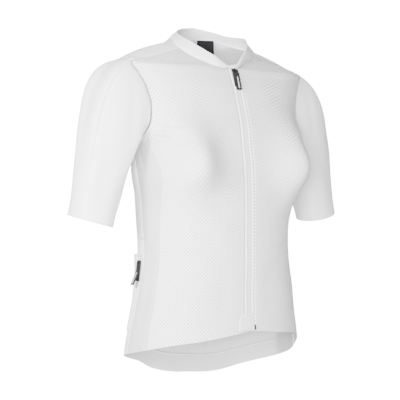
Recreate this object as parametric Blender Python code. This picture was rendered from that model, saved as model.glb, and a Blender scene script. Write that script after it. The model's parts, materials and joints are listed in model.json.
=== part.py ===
"""A women's short-sleeved cycling jersey, filled out as it is worn, with nobody in it.

Metres, +Z up. The origin is the middle of the neck opening at the height where the
collar is sewn on. The front faces -Y and the wearer's right side is -X.

The body is one smooth surface, read from the TORSO table by an angle (0 at centre
front, 90 at the wearer's left side, 180 at centre back) and a height. Every panel is
cut from that surface between seams, and neighbouring panels share the points of
their seam, drawn apart by SEAM_GAP. Sleeves run from the armhole to the cuff, and
the collar stands on the neckline.
"""

import math

import bmesh
import bpy
import numpy as np
from mathutils import Vector

# ---------------------------------------------------------------- driving sizes
WALL = 0.0012  # a cloth wall
SEAM_GAP = 0.0003  # between two pieces sewn edge to edge
LAYER_GAP = 0.0005  # between a piece and the panel it lies on

TAPE_RIGHT, TAPE_LEFT = 0.0058, 0.0048  # zip tape, from centre front to its edges
EDGE_STRIP = 0.0036  # the bonded strip beside the tape, each side
EDGE_STRIP_RISE = 0.0004

CUFF_CENTRE = (0.2470, 0.000, -0.3010)
CUFF_HALF_WIDTH, CUFF_HALF_DEPTH = 0.0375, 0.0375
REACH_TOP, REACH_UNDER = 0.262, 0.06  # how strongly the sleeve leaves the armhole
SLEEVE_SWELL_FRONT, SLEEVE_SWELL_BACK = 0.30, -0.08
REACH_FRONT, REACH_BACK = 0.12, -0.36  # what the sleeve's front and back add to it
SLEEVE_TILT = math.radians(15.2)  # from straight down, outwards
CUFF_DROP = math.radians(6)  # how far the cuff's front dips below its back

COLUMNS_FRONT, COLUMNS_BACK, COLUMNS_SIDE = 12, 12, 4
ROWS_SEAM, ROWS_ARMHOLE, ROWS_OVER = 17, 12, 4  # side seam, armhole, over the shoulder
ROWS_NECK = 6  # of the front panel's rows, how many end on the neckline
ROWS_SLEEVE = 11
ROWS_COLLAR = 3

BAND_TOP_ROW = 1.3  # the hem band inside the back ends this many rows up
POCKET_ROWS = (2, 8)  # rows of the back panel that the rear pockets cover
POCKET_RIM = 0.0016  # how far the pockets' open edge stands off the back
GUARD_ROWS = 1.3  # the smooth patch over the foot of the front zip
GUARD_COLUMN = 0.85
POCKET_ZIP_TOP, POCKET_ZIP_FOOT = -0.358, -0.414
POCKET_ZIP_COLUMNS = (0.12, 0.55)  # of the back's last column, out from the seam
TAPE_THICK = 0.0010
FRONT_SLIDER_BELOW, POCKET_SLIDER_BELOW = 0.0036, 0.0125  # the hinge, below the zip's top

LABEL_LEFT, LABEL_RIGHT = (0.0370, 0.0554), (0.0145, 0.0621)  # its two ends in plan
LABEL_TOP, LABEL_TALL, LABEL_THICK = 0.0150, 0.030, 0.0009

# The sliders and pulls, in millimetres from the hinge line: across, up, out.
SLIDER_OUTLINE = ((-2.4, -7.6), (2.4, -7.6), (3.3, -3.0), (3.3, 1.6), (-3.3, 1.6), (-3.3, -3.0))
SLIDER_THICK = 1.6
HINGE_RISE = 3.2  # the hinge line above the cloth's face
BRIDGE_WIDE, BRIDGE_FOOT, BRIDGE_TOP = 1.6, 1.3, 5.4
TUNNEL_HALF, TUNNEL_LOW, TUNNEL_HIGH = 1.1, 1.9, 4.3
PIN_RADIUS = 0.55
BACK_TAB = dict(half=6.6, foot=-33.0, low=2.65, high=3.75)
FRONT_TAB = dict(left=-4.6, right=6.2, foot=-40.0, high=5.0)
SLOT_HALF, SLOT_FOOT = 1.9, -6.2
PULL_LEAN = math.tan(math.radians(8))

WHITE, GREY, BLACK = (0.90, 0.90, 0.90), (0.78, 0.78, 0.78), (0.02, 0.02, 0.022)


def table(names, *rows):
    """A table with named columns: {name: array}, one row for each section."""
    return dict(zip(names.split(), np.array(rows, float).T))


# Level sections of the body. centre_y is the middle that the angles turn about, and
# front and back are the depths from it.
TORSO = table(
    "height half_width centre_y front back squareness",
    (-0.610, 0.178, 0.000, 0.112, 0.110, 2.3),
    (-0.500, 0.165, -0.003, 0.103, 0.094, 2.3),
    (-0.430, 0.154, -0.006, 0.096, 0.082, 2.3),
    (-0.348, 0.143, -0.002, 0.101, 0.084, 2.3),
    (-0.270, 0.146, 0.000, 0.103, 0.086, 2.3),
    (-0.211, 0.155, 0.000, 0.100, 0.085, 2.3),
    (-0.176, 0.155, 0.000, 0.095, 0.090, 2.4),
    (-0.150, 0.165, 0.002, 0.093, 0.093, 2.45),
    (-0.119, 0.172, 0.008, 0.092, 0.089, 2.4),
    (-0.083, 0.187, 0.016, 0.090, 0.079, 2.5),
    (-0.060, 0.196, 0.019, 0.083, 0.073, 2.7),
    (-0.047, 0.197, 0.020, 0.078, 0.069, 3.0),
    (-0.040, 0.192, 0.020, 0.067, 0.067, 3.0),
    (-0.034, 0.174, 0.020, 0.061, 0.065, 3.0),
    (-0.027, 0.160, 0.020, 0.053, 0.063, 3.0),
    (-0.0195, 0.145, 0.020, 0.045, 0.061, 2.8),
    (-0.0115, 0.124, 0.020, 0.0375, 0.058, 2.6),
    (-0.0035, 0.096, 0.020, 0.0325, 0.055, 2.4),
    (0.003, 0.077, 0.020, 0.030, 0.052, 2.3),
    (0.0095, 0.069, 0.020, 0.029, 0.049, 2.3),
    (0.018, 0.064, 0.020, 0.028, 0.044, 2.3),
)
# Fullness that the darts and the cut give, each a soft swelling moved along Y.
FULLNESS = table(
    "across height amount width_in width_out rise_up rise_down",
    (0.120, -0.2104, -0.0497, 0.0486, 0.0430, 0.0620, 0.0557),
)
# Lines that the cutter draws, by the angle from centre front. lean lifts a line on
# the wearer's left and drops it on the right, as the worn garment hangs.
NECKLINE = table(
    "angle height lean",
    (0, -0.0465, 0), (13.8, -0.0450, 0.0015), (23.3, -0.0420, 0.0025),
    (31.7, -0.0375, 0.003), (44, -0.0310, 0.0025), (52.9, -0.0255, 0.0015),
    (64.8, -0.0155, 0), (74.1, -0.0075, -0.002), (84.7, -0.0005, -0.0025),
    (104.3, 0.0080, -0.0015), (126.5, 0.0146, 0), (151, 0.016, 0), (180, 0.016, 0),
)
HEM = table(
    "angle height lean",
    (0, -0.486, 0), (20, -0.490, 0), (45, -0.497, 0), (60, -0.502, -0.001),
    (73, -0.514, -0.006), (87, -0.5325, -0.0150), (108, -0.5505, -0.0185),
    (130, -0.568, -0.0180), (150, -0.581, -0.010), (165, -0.584, -0.004), (180, -0.5855, 0),
)
SIDE_FRONT = table(
    "height angle",
    (-0.520, 80), (-0.430, 78.5), (-0.320, 76.5), (-0.235, 77.0),
    (-0.200, 79.5), (-0.183, 82.5), (-0.170, 88),
)
SIDE_BACK = table(
    "height angle",
    (-0.540, 97), (-0.430, 94), (-0.370, 91.5), (-0.230, 91.5), (-0.172, 98),
)
# The armhole seam, from the yoke seam's outer end down the front of the arm.
ARMHOLE_FRONT = table(
    "step angle height",
    (0.0, 77.4, -0.0400), (0.18, 73.2, -0.065), (0.35, 71.7, -0.085), (0.5, 71.8, -0.102),
    (0.65, 73.2, -0.119), (0.8, 76.2, -0.1416), (0.9, 80.8, -0.156), (1.0, 88.0, -0.170),
)
# The same seam up the back of the arm, from the armpit to the shoulder's ridge.
ARMHOLE_BACK = table(
    "step angle height",
    (0.0, 98.0, -0.172), (0.12, 106.0, -0.164), (0.35, 113.0, -0.136), (0.6, 113.0, -0.100),
    (0.8, 107.0, -0.066), (0.93, 97.0, -0.042), (1.0, 90.0, -0.0345),
)
YOKE_INNER_ANGLE = 66.8
COLLAR_TOP = table(
    "angle height lean",
    (0, -0.0408, 0), (8, -0.0400, 0.0015), (21, -0.0305, 0.004), (35, -0.020, 0.005),
    (47, -0.012, 0.006), (62, -0.002, 0.006), (72, 0.005, 0.006), (90, 0.013, 0.004),
    (120, 0.0225, 0), (150, 0.031, 0), (180, 0.035, 0),
)
COLLAR_HALF_WIDTH, COLLAR_FRONT, COLLAR_BACK = 0.0650, 0.0570, 0.0540


# ------------------------------------------------------------- curves and surface
def smooth(known, values, at):
    """A cubic through (known, values) that never overshoots, level past the ends."""
    known, values = np.asarray(known, float), np.asarray(values, float)
    at = np.clip(np.asarray(at, float), known[0], known[-1])
    step = np.diff(known)
    slope = np.diff(values) / step
    inner = np.zeros(len(known))
    same = slope[1:] * slope[:-1] > 0
    before, after = step[:-1], step[1:]
    w1, w2 = 2 * after + before, after + 2 * before
    with np.errstate(divide="ignore", invalid="ignore"):
        mean = (w1 + w2) / (w1 / slope[:-1] + w2 / slope[1:])
    inner[1:-1] = np.where(same, mean, 0.0)
    inner[0], inner[-1] = slope[0], slope[-1]
    k = np.clip(np.searchsorted(known, at, side="right") - 1, 0, len(step) - 1)
    t = (at - known[k]) / step[k]
    h = step[k]
    return (
        values[k] * (1 + 2 * t) * (1 - t) ** 2
        + inner[k] * h * t * (1 - t) ** 2
        + values[k + 1] * t * t * (3 - 2 * t)
        + inner[k + 1] * h * t * t * (t - 1)
    )


def torso_point(angle, height):
    """The body surface at an angle in degrees and a height; arrays give (..., 3)."""
    angle, height = np.broadcast_arrays(
        np.asarray(angle, float), np.asarray(height, float)
    )
    columns = {n: smooth(TORSO["height"], TORSO[n], height) for n in TORSO if n != "height"}
    turn = np.radians(angle)
    s, c = np.sin(turn), np.cos(turn)
    depth = np.where(c > 0, columns["front"], columns["back"])
    n = columns["squareness"]
    across = np.abs(s) / columns["half_width"]
    along = np.abs(c) / depth
    radius = (across**n + along**n) ** (-1 / n)
    x, y = radius * s, columns["centre_y"] - radius * c
    facing = np.clip(c * 3.0, 0, 1)
    facing = facing * facing * (3 - 2 * facing)
    for k in range(len(FULLNESS["across"])):
        row = {name: FULLNESS[name][k] for name in FULLNESS}
        side = np.abs(x) - row["across"]
        up = height - row["height"]
        wide = np.where(side > 0, row["width_out"], row["width_in"])
        tall = np.where(up > 0, row["rise_up"], row["rise_down"])
        swell = np.exp(-((side / wide) ** 2) - (up / tall) ** 2)
        y = y + row["amount"] * swell * facing
    return np.stack([x, y, height], axis=-1)


def torso_normal(angle, height):
    """The unit normal that points out of the body, by small steps each way."""
    turn, lift = 0.2, 0.0005
    around = torso_point(np.asarray(angle) + turn, height)
    around = around - torso_point(np.asarray(angle) - turn, height)
    upward = torso_point(angle, np.asarray(height) + lift)
    upward = upward - torso_point(angle, np.asarray(height) - lift)
    normal = np.cross(around, upward)
    return normal / np.linalg.norm(normal, axis=-1, keepdims=True)


def even_steps(line, count):
    """(count + 1) points along a line of (angle, height), evenly spaced on the cloth."""
    points = torso_point(line[:, 0], line[:, 1])
    run = np.concatenate([[0], np.cumsum(np.linalg.norm(np.diff(points, axis=0), axis=1))])
    at = np.linspace(0, run[-1], count + 1)
    return np.stack([np.interp(at, run, line[:, k]) for k in (0, 1)], axis=1)


def line_height(line, angle):
    """A cutter's line at a signed angle, with its lean."""
    size = np.abs(angle)
    level = smooth(line["angle"], line["height"], size)
    return level + np.sign(angle) * smooth(line["angle"], line["lean"], size)


def hem_height(angle):
    return line_height(HEM, angle)


def neck_height(angle):
    return line_height(NECKLINE, angle)


def edge_angle(offset, heights):
    """The angle at which the front lies `offset` to the side of centre front."""
    middle = smooth(TORSO["height"], TORSO["centre_y"], heights)
    depth = middle - torso_point(0.0, heights)[..., 1]
    return np.degrees(np.arctan2(offset, depth))


def centre_edge(offset, count):
    """(angle, height) points up the front at a set distance from centre front."""
    fine = np.linspace(hem_height(0.0), neck_height(0.0), 400)
    heights = even_steps(np.stack([np.zeros(400), fine], axis=1), count)[:, 1]
    return np.stack([edge_angle(offset, heights), heights], axis=1)


def neck_line(start, end, side, count):
    fine = np.linspace(start, end, 300)
    return even_steps(np.stack([fine, neck_height(side * fine)], axis=1), count)


def side_seam(rows, side, count):
    """A side seam from the hem up to the armhole."""
    low = hem_height(side * rows["angle"][0])
    fine = np.linspace(low, rows["height"][-1], 400)
    angles = smooth(rows["height"], rows["angle"], fine)
    return even_steps(np.stack([angles, fine], axis=1), count)


def armhole_line(rows, count):
    fine = np.linspace(0, 1, 400)
    angles = smooth(rows["step"], rows["angle"], fine)
    heights = smooth(rows["step"], rows["height"], fine)
    return even_steps(np.stack([angles, heights], axis=1), count)


def armpit_line(count):
    """The top of the side panel, which is the bottom of the armhole."""
    a = (ARMHOLE_FRONT["angle"][-1], ARMHOLE_FRONT["height"][-1])
    b = (ARMHOLE_BACK["angle"][0], ARMHOLE_BACK["height"][0])
    t = np.linspace(0, 1, count + 1)
    dip = -0.0010 * np.sin(np.pi * t)
    return np.stack([a[0] + (b[0] - a[0]) * t, a[1] + (b[1] - a[1]) * t + dip], axis=1)


def over_shoulder(count):
    """The armhole from the shoulder's ridge forward to the yoke seam."""
    t = np.linspace(0, 1, 100)
    angles = 90 + (ARMHOLE_FRONT["angle"][0] - 90) * t
    heights = ARMHOLE_BACK["height"][-1] + (
        ARMHOLE_FRONT["height"][0] - ARMHOLE_BACK["height"][-1]
    ) * t * t
    return even_steps(np.stack([angles, heights], axis=1), count)


def yoke_line(side, count):
    """The forward shoulder seam, from the neckline out to the armhole."""
    inner = np.array([YOKE_INNER_ANGLE, float(neck_height(side * YOKE_INNER_ANGLE))])
    outer = np.array([ARMHOLE_FRONT["angle"][0], ARMHOLE_FRONT["height"][0]])
    t = np.linspace(0, 1, 200)[:, None]
    return even_steps(inner + (outer - inner) * t, count)


def hem_line(start, end, side, count):
    fine = np.linspace(start, end, 300)
    return even_steps(np.stack([fine, hem_height(side * fine)], axis=1), count)


def fill(bottom, top, left, right):
    """A net between four edges: each inside point is eased from all four (Coons)."""
    u = np.linspace(0, 1, len(bottom))[None, :, None]
    v = np.linspace(0, 1, len(left))[:, None, None]
    across = left[:, None] * (1 - u) + right[:, None] * u
    along = bottom[None] * (1 - v) + top[None] * v
    corners = (
        bottom[0] * (1 - u) * (1 - v)
        + bottom[-1] * u * (1 - v)
        + top[0] * (1 - u) * v
        + top[-1] * u * v
    )
    return across + along - corners


# ------------------------------------------------------------------- making solids
def material(name, colour, roughness=0.75, metallic=0.0):
    made = bpy.data.materials.get(name) or bpy.data.materials.new(name)
    made.use_nodes = True
    shader = made.node_tree.nodes["Principled BSDF"]
    shader.inputs["Base Color"].default_value = (*colour, 1)
    shader.inputs["Roughness"].default_value = roughness
    shader.inputs["Metallic"].default_value = metallic
    return made


def add_object(name, bm, finish, location=(0, 0, 0)):
    """Closes a bmesh into a named object; its points are given in world metres."""
    bmesh.ops.recalc_face_normals(bm, faces=bm.faces[:])
    bmesh.ops.translate(bm, verts=bm.verts[:], vec=-Vector(location))
    mesh = bpy.data.meshes.new(name)
    bm.to_mesh(mesh)
    bm.free()
    mesh.shade_smooth()
    mesh.set_sharp_from_angle(angle=math.radians(40))
    mesh.materials.append(finish)
    piece = bpy.data.objects.new(name, mesh)
    bpy.context.collection.objects.link(piece)
    piece.location = location
    return piece


def net_normals(points, ring=False):
    """Normals of a net of points (rows, columns, 3), closed along columns if ring."""
    if ring:
        wide = np.roll(points, -1, axis=1) - np.roll(points, 1, axis=1)
    else:
        wide = np.gradient(points, axis=1)
    tall = np.gradient(points, axis=0)
    normal = np.cross(wide, tall)
    return normal / np.linalg.norm(normal, axis=-1, keepdims=True)


def draw_in(points, sides, amount=SEAM_GAP / 2):
    """Moves the named edges of a net inwards along the cloth by `amount`."""
    moved = points.copy()
    edges = {
        "bottom": (np.s_[0], np.s_[1]),
        "top": (np.s_[-1], np.s_[-2]),
        "left": (np.s_[:, 0], np.s_[:, 1]),
        "right": (np.s_[:, -1], np.s_[:, -2]),
    }
    for name in sides:
        edge, inside = edges[name]
        along = np.gradient(points[edge], axis=0)
        along /= np.linalg.norm(along, axis=-1, keepdims=True)
        inward = points[inside] - points[edge]
        inward -= (inward * along).sum(-1, keepdims=True) * along
        inward /= np.linalg.norm(inward, axis=-1, keepdims=True)
        moved[edge] += inward * amount
    return moved


def wall_mesh(outer, inner, ring=False):
    """A closed wall between two nets of the same shape, or two lists of joined nets."""
    if isinstance(outer, np.ndarray):
        outer, inner = [outer], [inner]
    bm = bmesh.new()
    corners, quads = {}, []
    for near, far in zip(outer, inner):
        rows, columns = near.shape[:2]
        keys = [[tuple(near[j, i].round(7)) for i in range(columns)] for j in range(rows)]
        for j in range(rows):
            for i in range(columns):
                if keys[j][i] not in corners:
                    pair = (bm.verts.new(near[j, i]), bm.verts.new(far[j, i]))
                    corners[keys[j][i]] = pair
        for j in range(rows - 1):
            for i in range(columns if ring else columns - 1):
                k = (i + 1) % columns
                quads.append((keys[j][i], keys[j][k], keys[j + 1][k], keys[j + 1][i]))
    open_edges = {}
    for quad in quads:
        for face in (0, 1):
            bm.faces.new([corners[key][face] for key in quad])
        for a, b in zip(quad, quad[1:] + quad[:1]):
            pair = frozenset((a, b))
            open_edges[pair] = None if pair in open_edges else (a, b)
    for edge in open_edges.values():
        if edge is not None:
            a, b = (corners[key] for key in edge)
            bm.faces.new((a[0], b[0], b[1], a[1]))
    return bm


def body_points(net):
    return torso_point(net[..., 0], net[..., 1]), torso_normal(net[..., 0], net[..., 1])


def body_wall(name, net, finish, out=0.0, draw=()):
    """A wall on the body surface: its outer face stands `out` above the surface."""
    points, normals = body_points(net)
    points = draw_in(points, draw)
    outer, inner = points + normals * out, points + normals * (out - WALL)
    return add_object(name, wall_mesh(outer, inner), finish)


def back_wall(finish):
    """The back as one piece: two halves that share centre back up to the neckline."""
    outer, inner = [], []
    for side in (1, -1):
        points, normals = body_points(back_half_net(side))
        drawn = draw_in(points, ("left", "right", "top"))
        nape = len(points) - 1 - (ROWS_NECK + ROWS_OVER)
        drawn[: nape + 1, 0] = points[: nape + 1, 0]
        drawn[nape, 0, 2] -= SEAM_GAP / 2
        drawn[: nape + 1, 0, 0] = 0.0
        normals[: nape + 1, 0, 0] = 0.0
        outer.append(drawn)
        inner.append(drawn - normals * WALL)
    return add_object("back", wall_mesh(outer, inner), finish)


def signed(net, side):
    return net * np.array([side, 1.0])


# -------------------------------------------------------------------------- panels
def front_net(side):
    """A front panel: edge strip and neckline, side seam and armhole, hem, yoke."""
    rows = ROWS_SEAM + ROWS_ARMHOLE
    offset = (TAPE_LEFT if side > 0 else TAPE_RIGHT) + EDGE_STRIP
    centre = centre_edge(offset, rows - ROWS_NECK)
    neck = neck_line(centre[-1, 0], YOKE_INNER_ANGLE, side, ROWS_NECK)
    neck[0] = centre[-1]
    seam = side_seam(SIDE_FRONT, side, ROWS_SEAM)
    arm = armhole_line(ARMHOLE_FRONT, ROWS_ARMHOLE)[::-1]
    left = np.concatenate([centre, neck[1:]])
    right = np.concatenate([seam, arm[1:]])
    bottom = hem_line(centre[0, 0], seam[0, 0], side, COLUMNS_FRONT)
    bottom[0], bottom[-1] = centre[0], seam[0]
    top = yoke_line(side, COLUMNS_FRONT)
    top[0], top[-1] = left[-1], right[-1]
    return signed(fill(bottom, top, left, right), side)


def back_half_net(side):
    """Half the back, from centre back round to the side seam and over the shoulder."""
    rows = ROWS_SEAM + ROWS_ARMHOLE + ROWS_OVER
    neck_rows = ROWS_NECK + ROWS_OVER
    fine = np.linspace(hem_height(180.0), neck_height(180.0), 400)
    middle = even_steps(np.stack([np.full(400, 180.0), fine], axis=1), rows - neck_rows)
    neck = neck_line(180.0, YOKE_INNER_ANGLE, side, neck_rows)
    seam = side_seam(SIDE_BACK, side, ROWS_SEAM)
    arm = armhole_line(ARMHOLE_BACK, ROWS_ARMHOLE)
    over = over_shoulder(ROWS_OVER)
    left = np.concatenate([middle, neck[1:]])
    right = np.concatenate([seam, arm[1:], over[1:]])
    bottom = hem_line(180.0, seam[0, 0], side, COLUMNS_BACK)
    bottom[0], bottom[-1] = middle[0], seam[0]
    top = yoke_line(side, COLUMNS_BACK)
    top[0], top[-1] = left[-1], right[-1]
    return signed(fill(bottom, top, left, right), side)


def side_net(side):
    front = side_seam(SIDE_FRONT, side, ROWS_SEAM)
    back = side_seam(SIDE_BACK, side, ROWS_SEAM)
    bottom = hem_line(front[0, 0], back[0, 0], side, COLUMNS_SIDE)
    bottom[0], bottom[-1] = front[0], back[0]
    top = armpit_line(COLUMNS_SIDE)
    top[0], top[-1] = front[-1], back[-1]
    return signed(fill(bottom, top, front, back), side)


def back_net():
    """Both halves below the neckline, joined at centre back, wearer's left first."""
    left, right = (back_half_net(side)[:ROWS_SEAM] for side in (1, -1))
    right = np.stack([right[..., 0] + 360.0, right[..., 1]], axis=-1)
    return np.concatenate([left[:, ::-1], right[:, 1:]], axis=1)


# ------------------------------------------------------------------------- sleeves
def armhole_loop(side):
    """The armhole's points: down the front, under the arm, up the back, over."""
    parts = [
        armhole_line(ARMHOLE_FRONT, ROWS_ARMHOLE),
        armpit_line(COLUMNS_SIDE),
        armhole_line(ARMHOLE_BACK, ROWS_ARMHOLE),
        over_shoulder(ROWS_OVER),
    ]
    return signed(np.concatenate([p[:-1] for p in parts]), side)


def sleeve_net(side):
    """Points from the armhole to the cuff, as curves that leave along the shoulder."""
    loop = armhole_loop(side)
    start = torso_point(loop[:, 0], loop[:, 1])
    turn = sleeve_turns(start)
    top = (1 + np.cos(turn)) / 2
    first = np.stack([
        side * (0.74 + 0.21 * top),
        -np.sin(turn) * np.where(np.sin(turn) > 0, SLEEVE_SWELL_FRONT, SLEEVE_SWELL_BACK),
        -0.66 + 0.36 * top,
    ], axis=1)
    first /= np.linalg.norm(first, axis=-1, keepdims=True)
    reach = REACH_UNDER + (REACH_TOP - REACH_UNDER) * top**1.3
    fore, aft = np.clip(np.sin(turn), 0, 1), np.clip(-np.sin(turn), 0, 1)
    reach = reach * (1 + REACH_FRONT * fore + REACH_BACK * aft)

    axis = np.array([side * math.sin(SLEEVE_TILT), 0.0, -math.cos(SLEEVE_TILT)])
    out = np.array([side * math.cos(SLEEVE_TILT), 0.0, math.sin(SLEEVE_TILT)])
    ahead = np.array([0.0, -math.cos(CUFF_DROP), -math.sin(CUFF_DROP)])
    ring = np.array(CUFF_CENTRE) * np.array([side, 1, 1]) + (
        CUFF_HALF_WIDTH * np.cos(turn)[:, None] * out
        + CUFF_HALF_DEPTH * np.sin(turn)[:, None] * ahead
    )
    length = np.linalg.norm(ring - start, axis=1)
    t = np.linspace(0, 1, ROWS_SLEEVE + 1)
    h00, h10 = 2 * t**3 - 3 * t**2 + 1, t**3 - 2 * t**2 + t
    h01, h11 = 3 * t**2 - 2 * t**3, t**3 - t**2
    begin = start + first * SEAM_GAP * 1.5
    return (
        h00[:, None, None] * begin
        + h10[:, None, None] * (first * reach[:, None])
        + h01[:, None, None] * ring
        + h11[:, None, None] * (axis * length[:, None])
    )


def sleeve_turns(start):
    """Each armhole point's turn about the sleeve: 0 at the shoulder, then forwards."""
    step = np.linalg.norm(np.roll(start, -1, axis=0) - start, axis=1)
    run = np.concatenate([[0], np.cumsum(step)])
    share = run[:-1] / run[-1]
    top = len(start) - ROWS_OVER
    return (share - share[top]) * 2 * math.pi


# -------------------------------------------------------------------------- collar
def collar_top(angle):
    turn = np.radians(angle)
    s, c = np.sin(turn), np.cos(turn)
    depth = np.where(c > 0, COLLAR_FRONT, COLLAR_BACK)
    radius = ((s / COLLAR_HALF_WIDTH) ** 2 + (c / depth) ** 2) ** -0.5
    return np.stack([radius * s, -radius * c, line_height(COLLAR_TOP, angle)], axis=-1)


def neck_loop():
    """The neckline's points, from the right front edge by centre back to the left."""
    halves = []
    for side in (-1, 1):
        front = front_net(side)[-(ROWS_NECK + 1):, 0]
        back = back_half_net(side)[-(ROWS_NECK + ROWS_OVER + 1):, 0]
        halves.append(np.concatenate([front, back[::-1][1:]]))
    right, left = halves
    return np.concatenate([right, left[::-1][1:]])


def collar_net():
    loop = neck_loop()
    low = torso_point(loop[:, 0], loop[:, 1])
    high = collar_top(np.degrees(np.arctan2(low[:, 0], -low[:, 1])))
    rise = high - low
    low = low + rise / np.linalg.norm(rise, axis=1, keepdims=True) * 0.0005
    t = np.linspace(0, 1, ROWS_COLLAR + 1)[:, None, None]
    bow = 0.0012 * np.sin(np.pi * t)
    net = low * (1 - t) + high * t
    flat = net * np.array([1, 1, 0])
    return net + flat / np.linalg.norm(flat, axis=-1, keepdims=True) * bow


# ------------------------------------------------------------------- laid-on pieces
def on_net(points, rows, columns):
    """Points of a net at fractional rows and columns, on its flat faces' edges."""
    rows, columns = np.asarray(rows, float), np.asarray(columns, float)
    j = np.clip(rows.astype(int), 0, points.shape[0] - 2)
    i = np.clip(columns.astype(int), 0, points.shape[1] - 2)
    v, u = (rows - j)[:, None, None], (columns - i)[None, :, None]
    low = points[j][:, i] * (1 - u) + points[j][:, i + 1] * u
    high = points[j + 1][:, i] * (1 - u) + points[j + 1][:, i + 1] * u
    return low * (1 - v) + high * v


def laid_wall(name, points, normals, finish, out, thickness=WALL):
    """A wall whose face next to the cloth stands `out` from the points given."""
    near, far = points + normals * out, points + normals * (out + thickness)
    return add_object(name, wall_mesh(far, near), finish)


def centre_strip(offsets):
    """A net up centre front, with a column at each signed distance across."""
    count = ROWS_SEAM + ROWS_ARMHOLE - ROWS_NECK
    edges = [signed(centre_edge(abs(x), count), np.sign(x) or 1.0) for x in offsets]
    return np.stack(edges, axis=1)


def make_front_zip(tape_cloth, edge_cloth, smooth_cloth):
    right, left = -TAPE_RIGHT, TAPE_LEFT
    body_wall("zip_tape", centre_strip((right, 0.0, left)), tape_cloth, draw=("left", "right"))
    for name, a, b in (
        ("zip_edge_right", right - EDGE_STRIP, right),
        ("zip_edge_left", left, left + EDGE_STRIP),
    ):
        strip = centre_strip((a, b))
        body_wall(name, strip, edge_cloth, EDGE_STRIP_RISE, draw=("left", "right"))
    make_zip_guard(smooth_cloth)
    make_garage(smooth_cloth)


def make_zip_guard(finish):
    """The smooth patch over the foot of the zip, its upper outer corner rounded."""
    front, lift = body_points(front_net(-1))
    strip, strip_lift = body_points(centre_strip((-TAPE_RIGHT, 0.0, TAPE_LEFT - 0.0006)))
    columns = []
    for place, top in ((GUARD_COLUMN, 0.80), (0.5, 1.18), (0.0, GUARD_ROWS)):
        rows = (0, 0.5, top)
        columns.append((on_net(front, rows, [place]), on_net(lift, rows, [place])))
    for place in (0, 1, 2):
        rows = (0, 0.5, GUARD_ROWS)
        columns.append((on_net(strip, rows, [place]), on_net(strip_lift, rows, [place])))
    points = np.concatenate([c[0] for c in columns], axis=1)
    normals = np.concatenate([c[1] for c in columns], axis=1)
    points[0, :, 2] += 0.0010
    laid_wall("zip_guard", points, normals, finish, EDGE_STRIP_RISE + LAYER_GAP, 0.0010)


def make_garage(finish):
    """The folded cap over the top of the zip, between the collar's two ends."""
    edges = [-(TAPE_RIGHT + EDGE_STRIP - 0.0008), 0.0, TAPE_LEFT + EDGE_STRIP - 0.0008]
    foot = torso_point(*np.moveaxis(centre_strip(edges)[-1], -1, 0))
    head = collar_top(np.degrees(np.arctan2(foot[:, 0], -foot[:, 1])))
    rise = head - foot
    foot = foot + rise / np.linalg.norm(rise, axis=1, keepdims=True) * 0.0008
    points = np.stack([foot, (foot + head) / 2, head])
    laid_wall("zip_garage", points, net_normals(points), finish, -0.0014, 0.0024)


def make_back_pieces(band_cloth, pocket_cloth, tape_cloth):
    """The band inside the back hem, the rear pockets, and the pocket zip's tape."""
    net = back_net()
    points, normals = body_points(net)
    last = 2 * COLUMNS_BACK
    every = np.arange(0, last + 1)
    inset = np.concatenate([[0.08], every[1:-1], [last - 0.08]])
    rows = (0, 1, BAND_TOP_ROW)
    band, lift = on_net(points, rows, inset), on_net(normals, rows, inset)
    laid_wall("hem_band", band, lift, band_cloth, -(2 * WALL + LAYER_GAP))

    rows = np.arange(POCKET_ROWS[0], POCKET_ROWS[1] + 1)
    inner = np.concatenate([[0.7], every[1:-1], [last - 0.7]])
    patch, lift = on_net(points, rows, inner), on_net(normals, rows, inner)
    share = ((rows - rows[0]) / (rows[-1] - rows[0])) ** 3
    stand = (POCKET_RIM * share)[:, None, None] * lift
    laid_wall("rear_pockets", patch + stand, lift, pocket_cloth, LAYER_GAP)

    foot, top = np.interp(
        (POCKET_ZIP_FOOT, POCKET_ZIP_TOP), points[:, -1, 2], np.arange(len(points))
    )
    rows = np.linspace(foot, top, 3)
    columns = last - np.array(POCKET_ZIP_COLUMNS[::-1])
    tape, lift = on_net(points, rows, columns), on_net(normals, rows, columns)
    laid_wall("pocket_zip", tape, lift, tape_cloth, LAYER_GAP, TAPE_THICK)
    return tape, lift


def make_label(black):
    """The woven neck label, hanging plumb from the seam inside the back of the neck."""
    left, right = np.array(LABEL_LEFT), np.array(LABEL_RIGHT)
    bm = bmesh.new()
    along = (right - left) / np.linalg.norm(right - left)
    back = np.array([-along[1], along[0]]) * LABEL_THICK
    corners = [left, right, right - back, left - back]
    rings = [
        [bm.verts.new((x, y, z)) for x, y in corners]
        for z in (LABEL_TOP - LABEL_TALL, LABEL_TOP)
    ]
    bm.faces.new(rings[0])
    bm.faces.new(rings[1])
    for k in range(4):
        n = (k + 1) % 4
        bm.faces.new((rings[0][k], rings[0][n], rings[1][n], rings[1][k]))
    add_object("neck_label", bm, black)


# --------------------------------------------------------------- sliders and pulls
def prism(outline, low, high):
    """A bmesh prism: an outline of (across, up) millimetres between two heights out."""
    bm = bmesh.new()
    foot = [bm.verts.new((x, y, low)) for x, y in outline]
    head = [bm.verts.new((x, y, high)) for x, y in outline]
    bm.faces.new(foot)
    bm.faces.new(head)
    for k in range(len(outline)):
        n = (k + 1) % len(outline)
        bm.faces.new((foot[k], foot[n], head[n], head[k]))
    return bm


def profile_prism(profile, left, right):
    """A prism across: a closed profile of (up, out) millimetres from left to right."""
    bm = prism(profile, left, right)
    for vert in bm.verts:
        up, out, across = vert.co
        vert.co = (across, up, out)
    return bm


def placed(bm, frame):
    """Turns millimetres in a frame (origin, across, up, out) into world metres."""
    origin, across, up, out = (np.asarray(v, float) for v in frame)
    for vert in bm.verts:
        x, y, z = np.array(vert.co) / 1000
        vert.co = origin + across * x + up * y + out * z
    return bm


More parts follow.
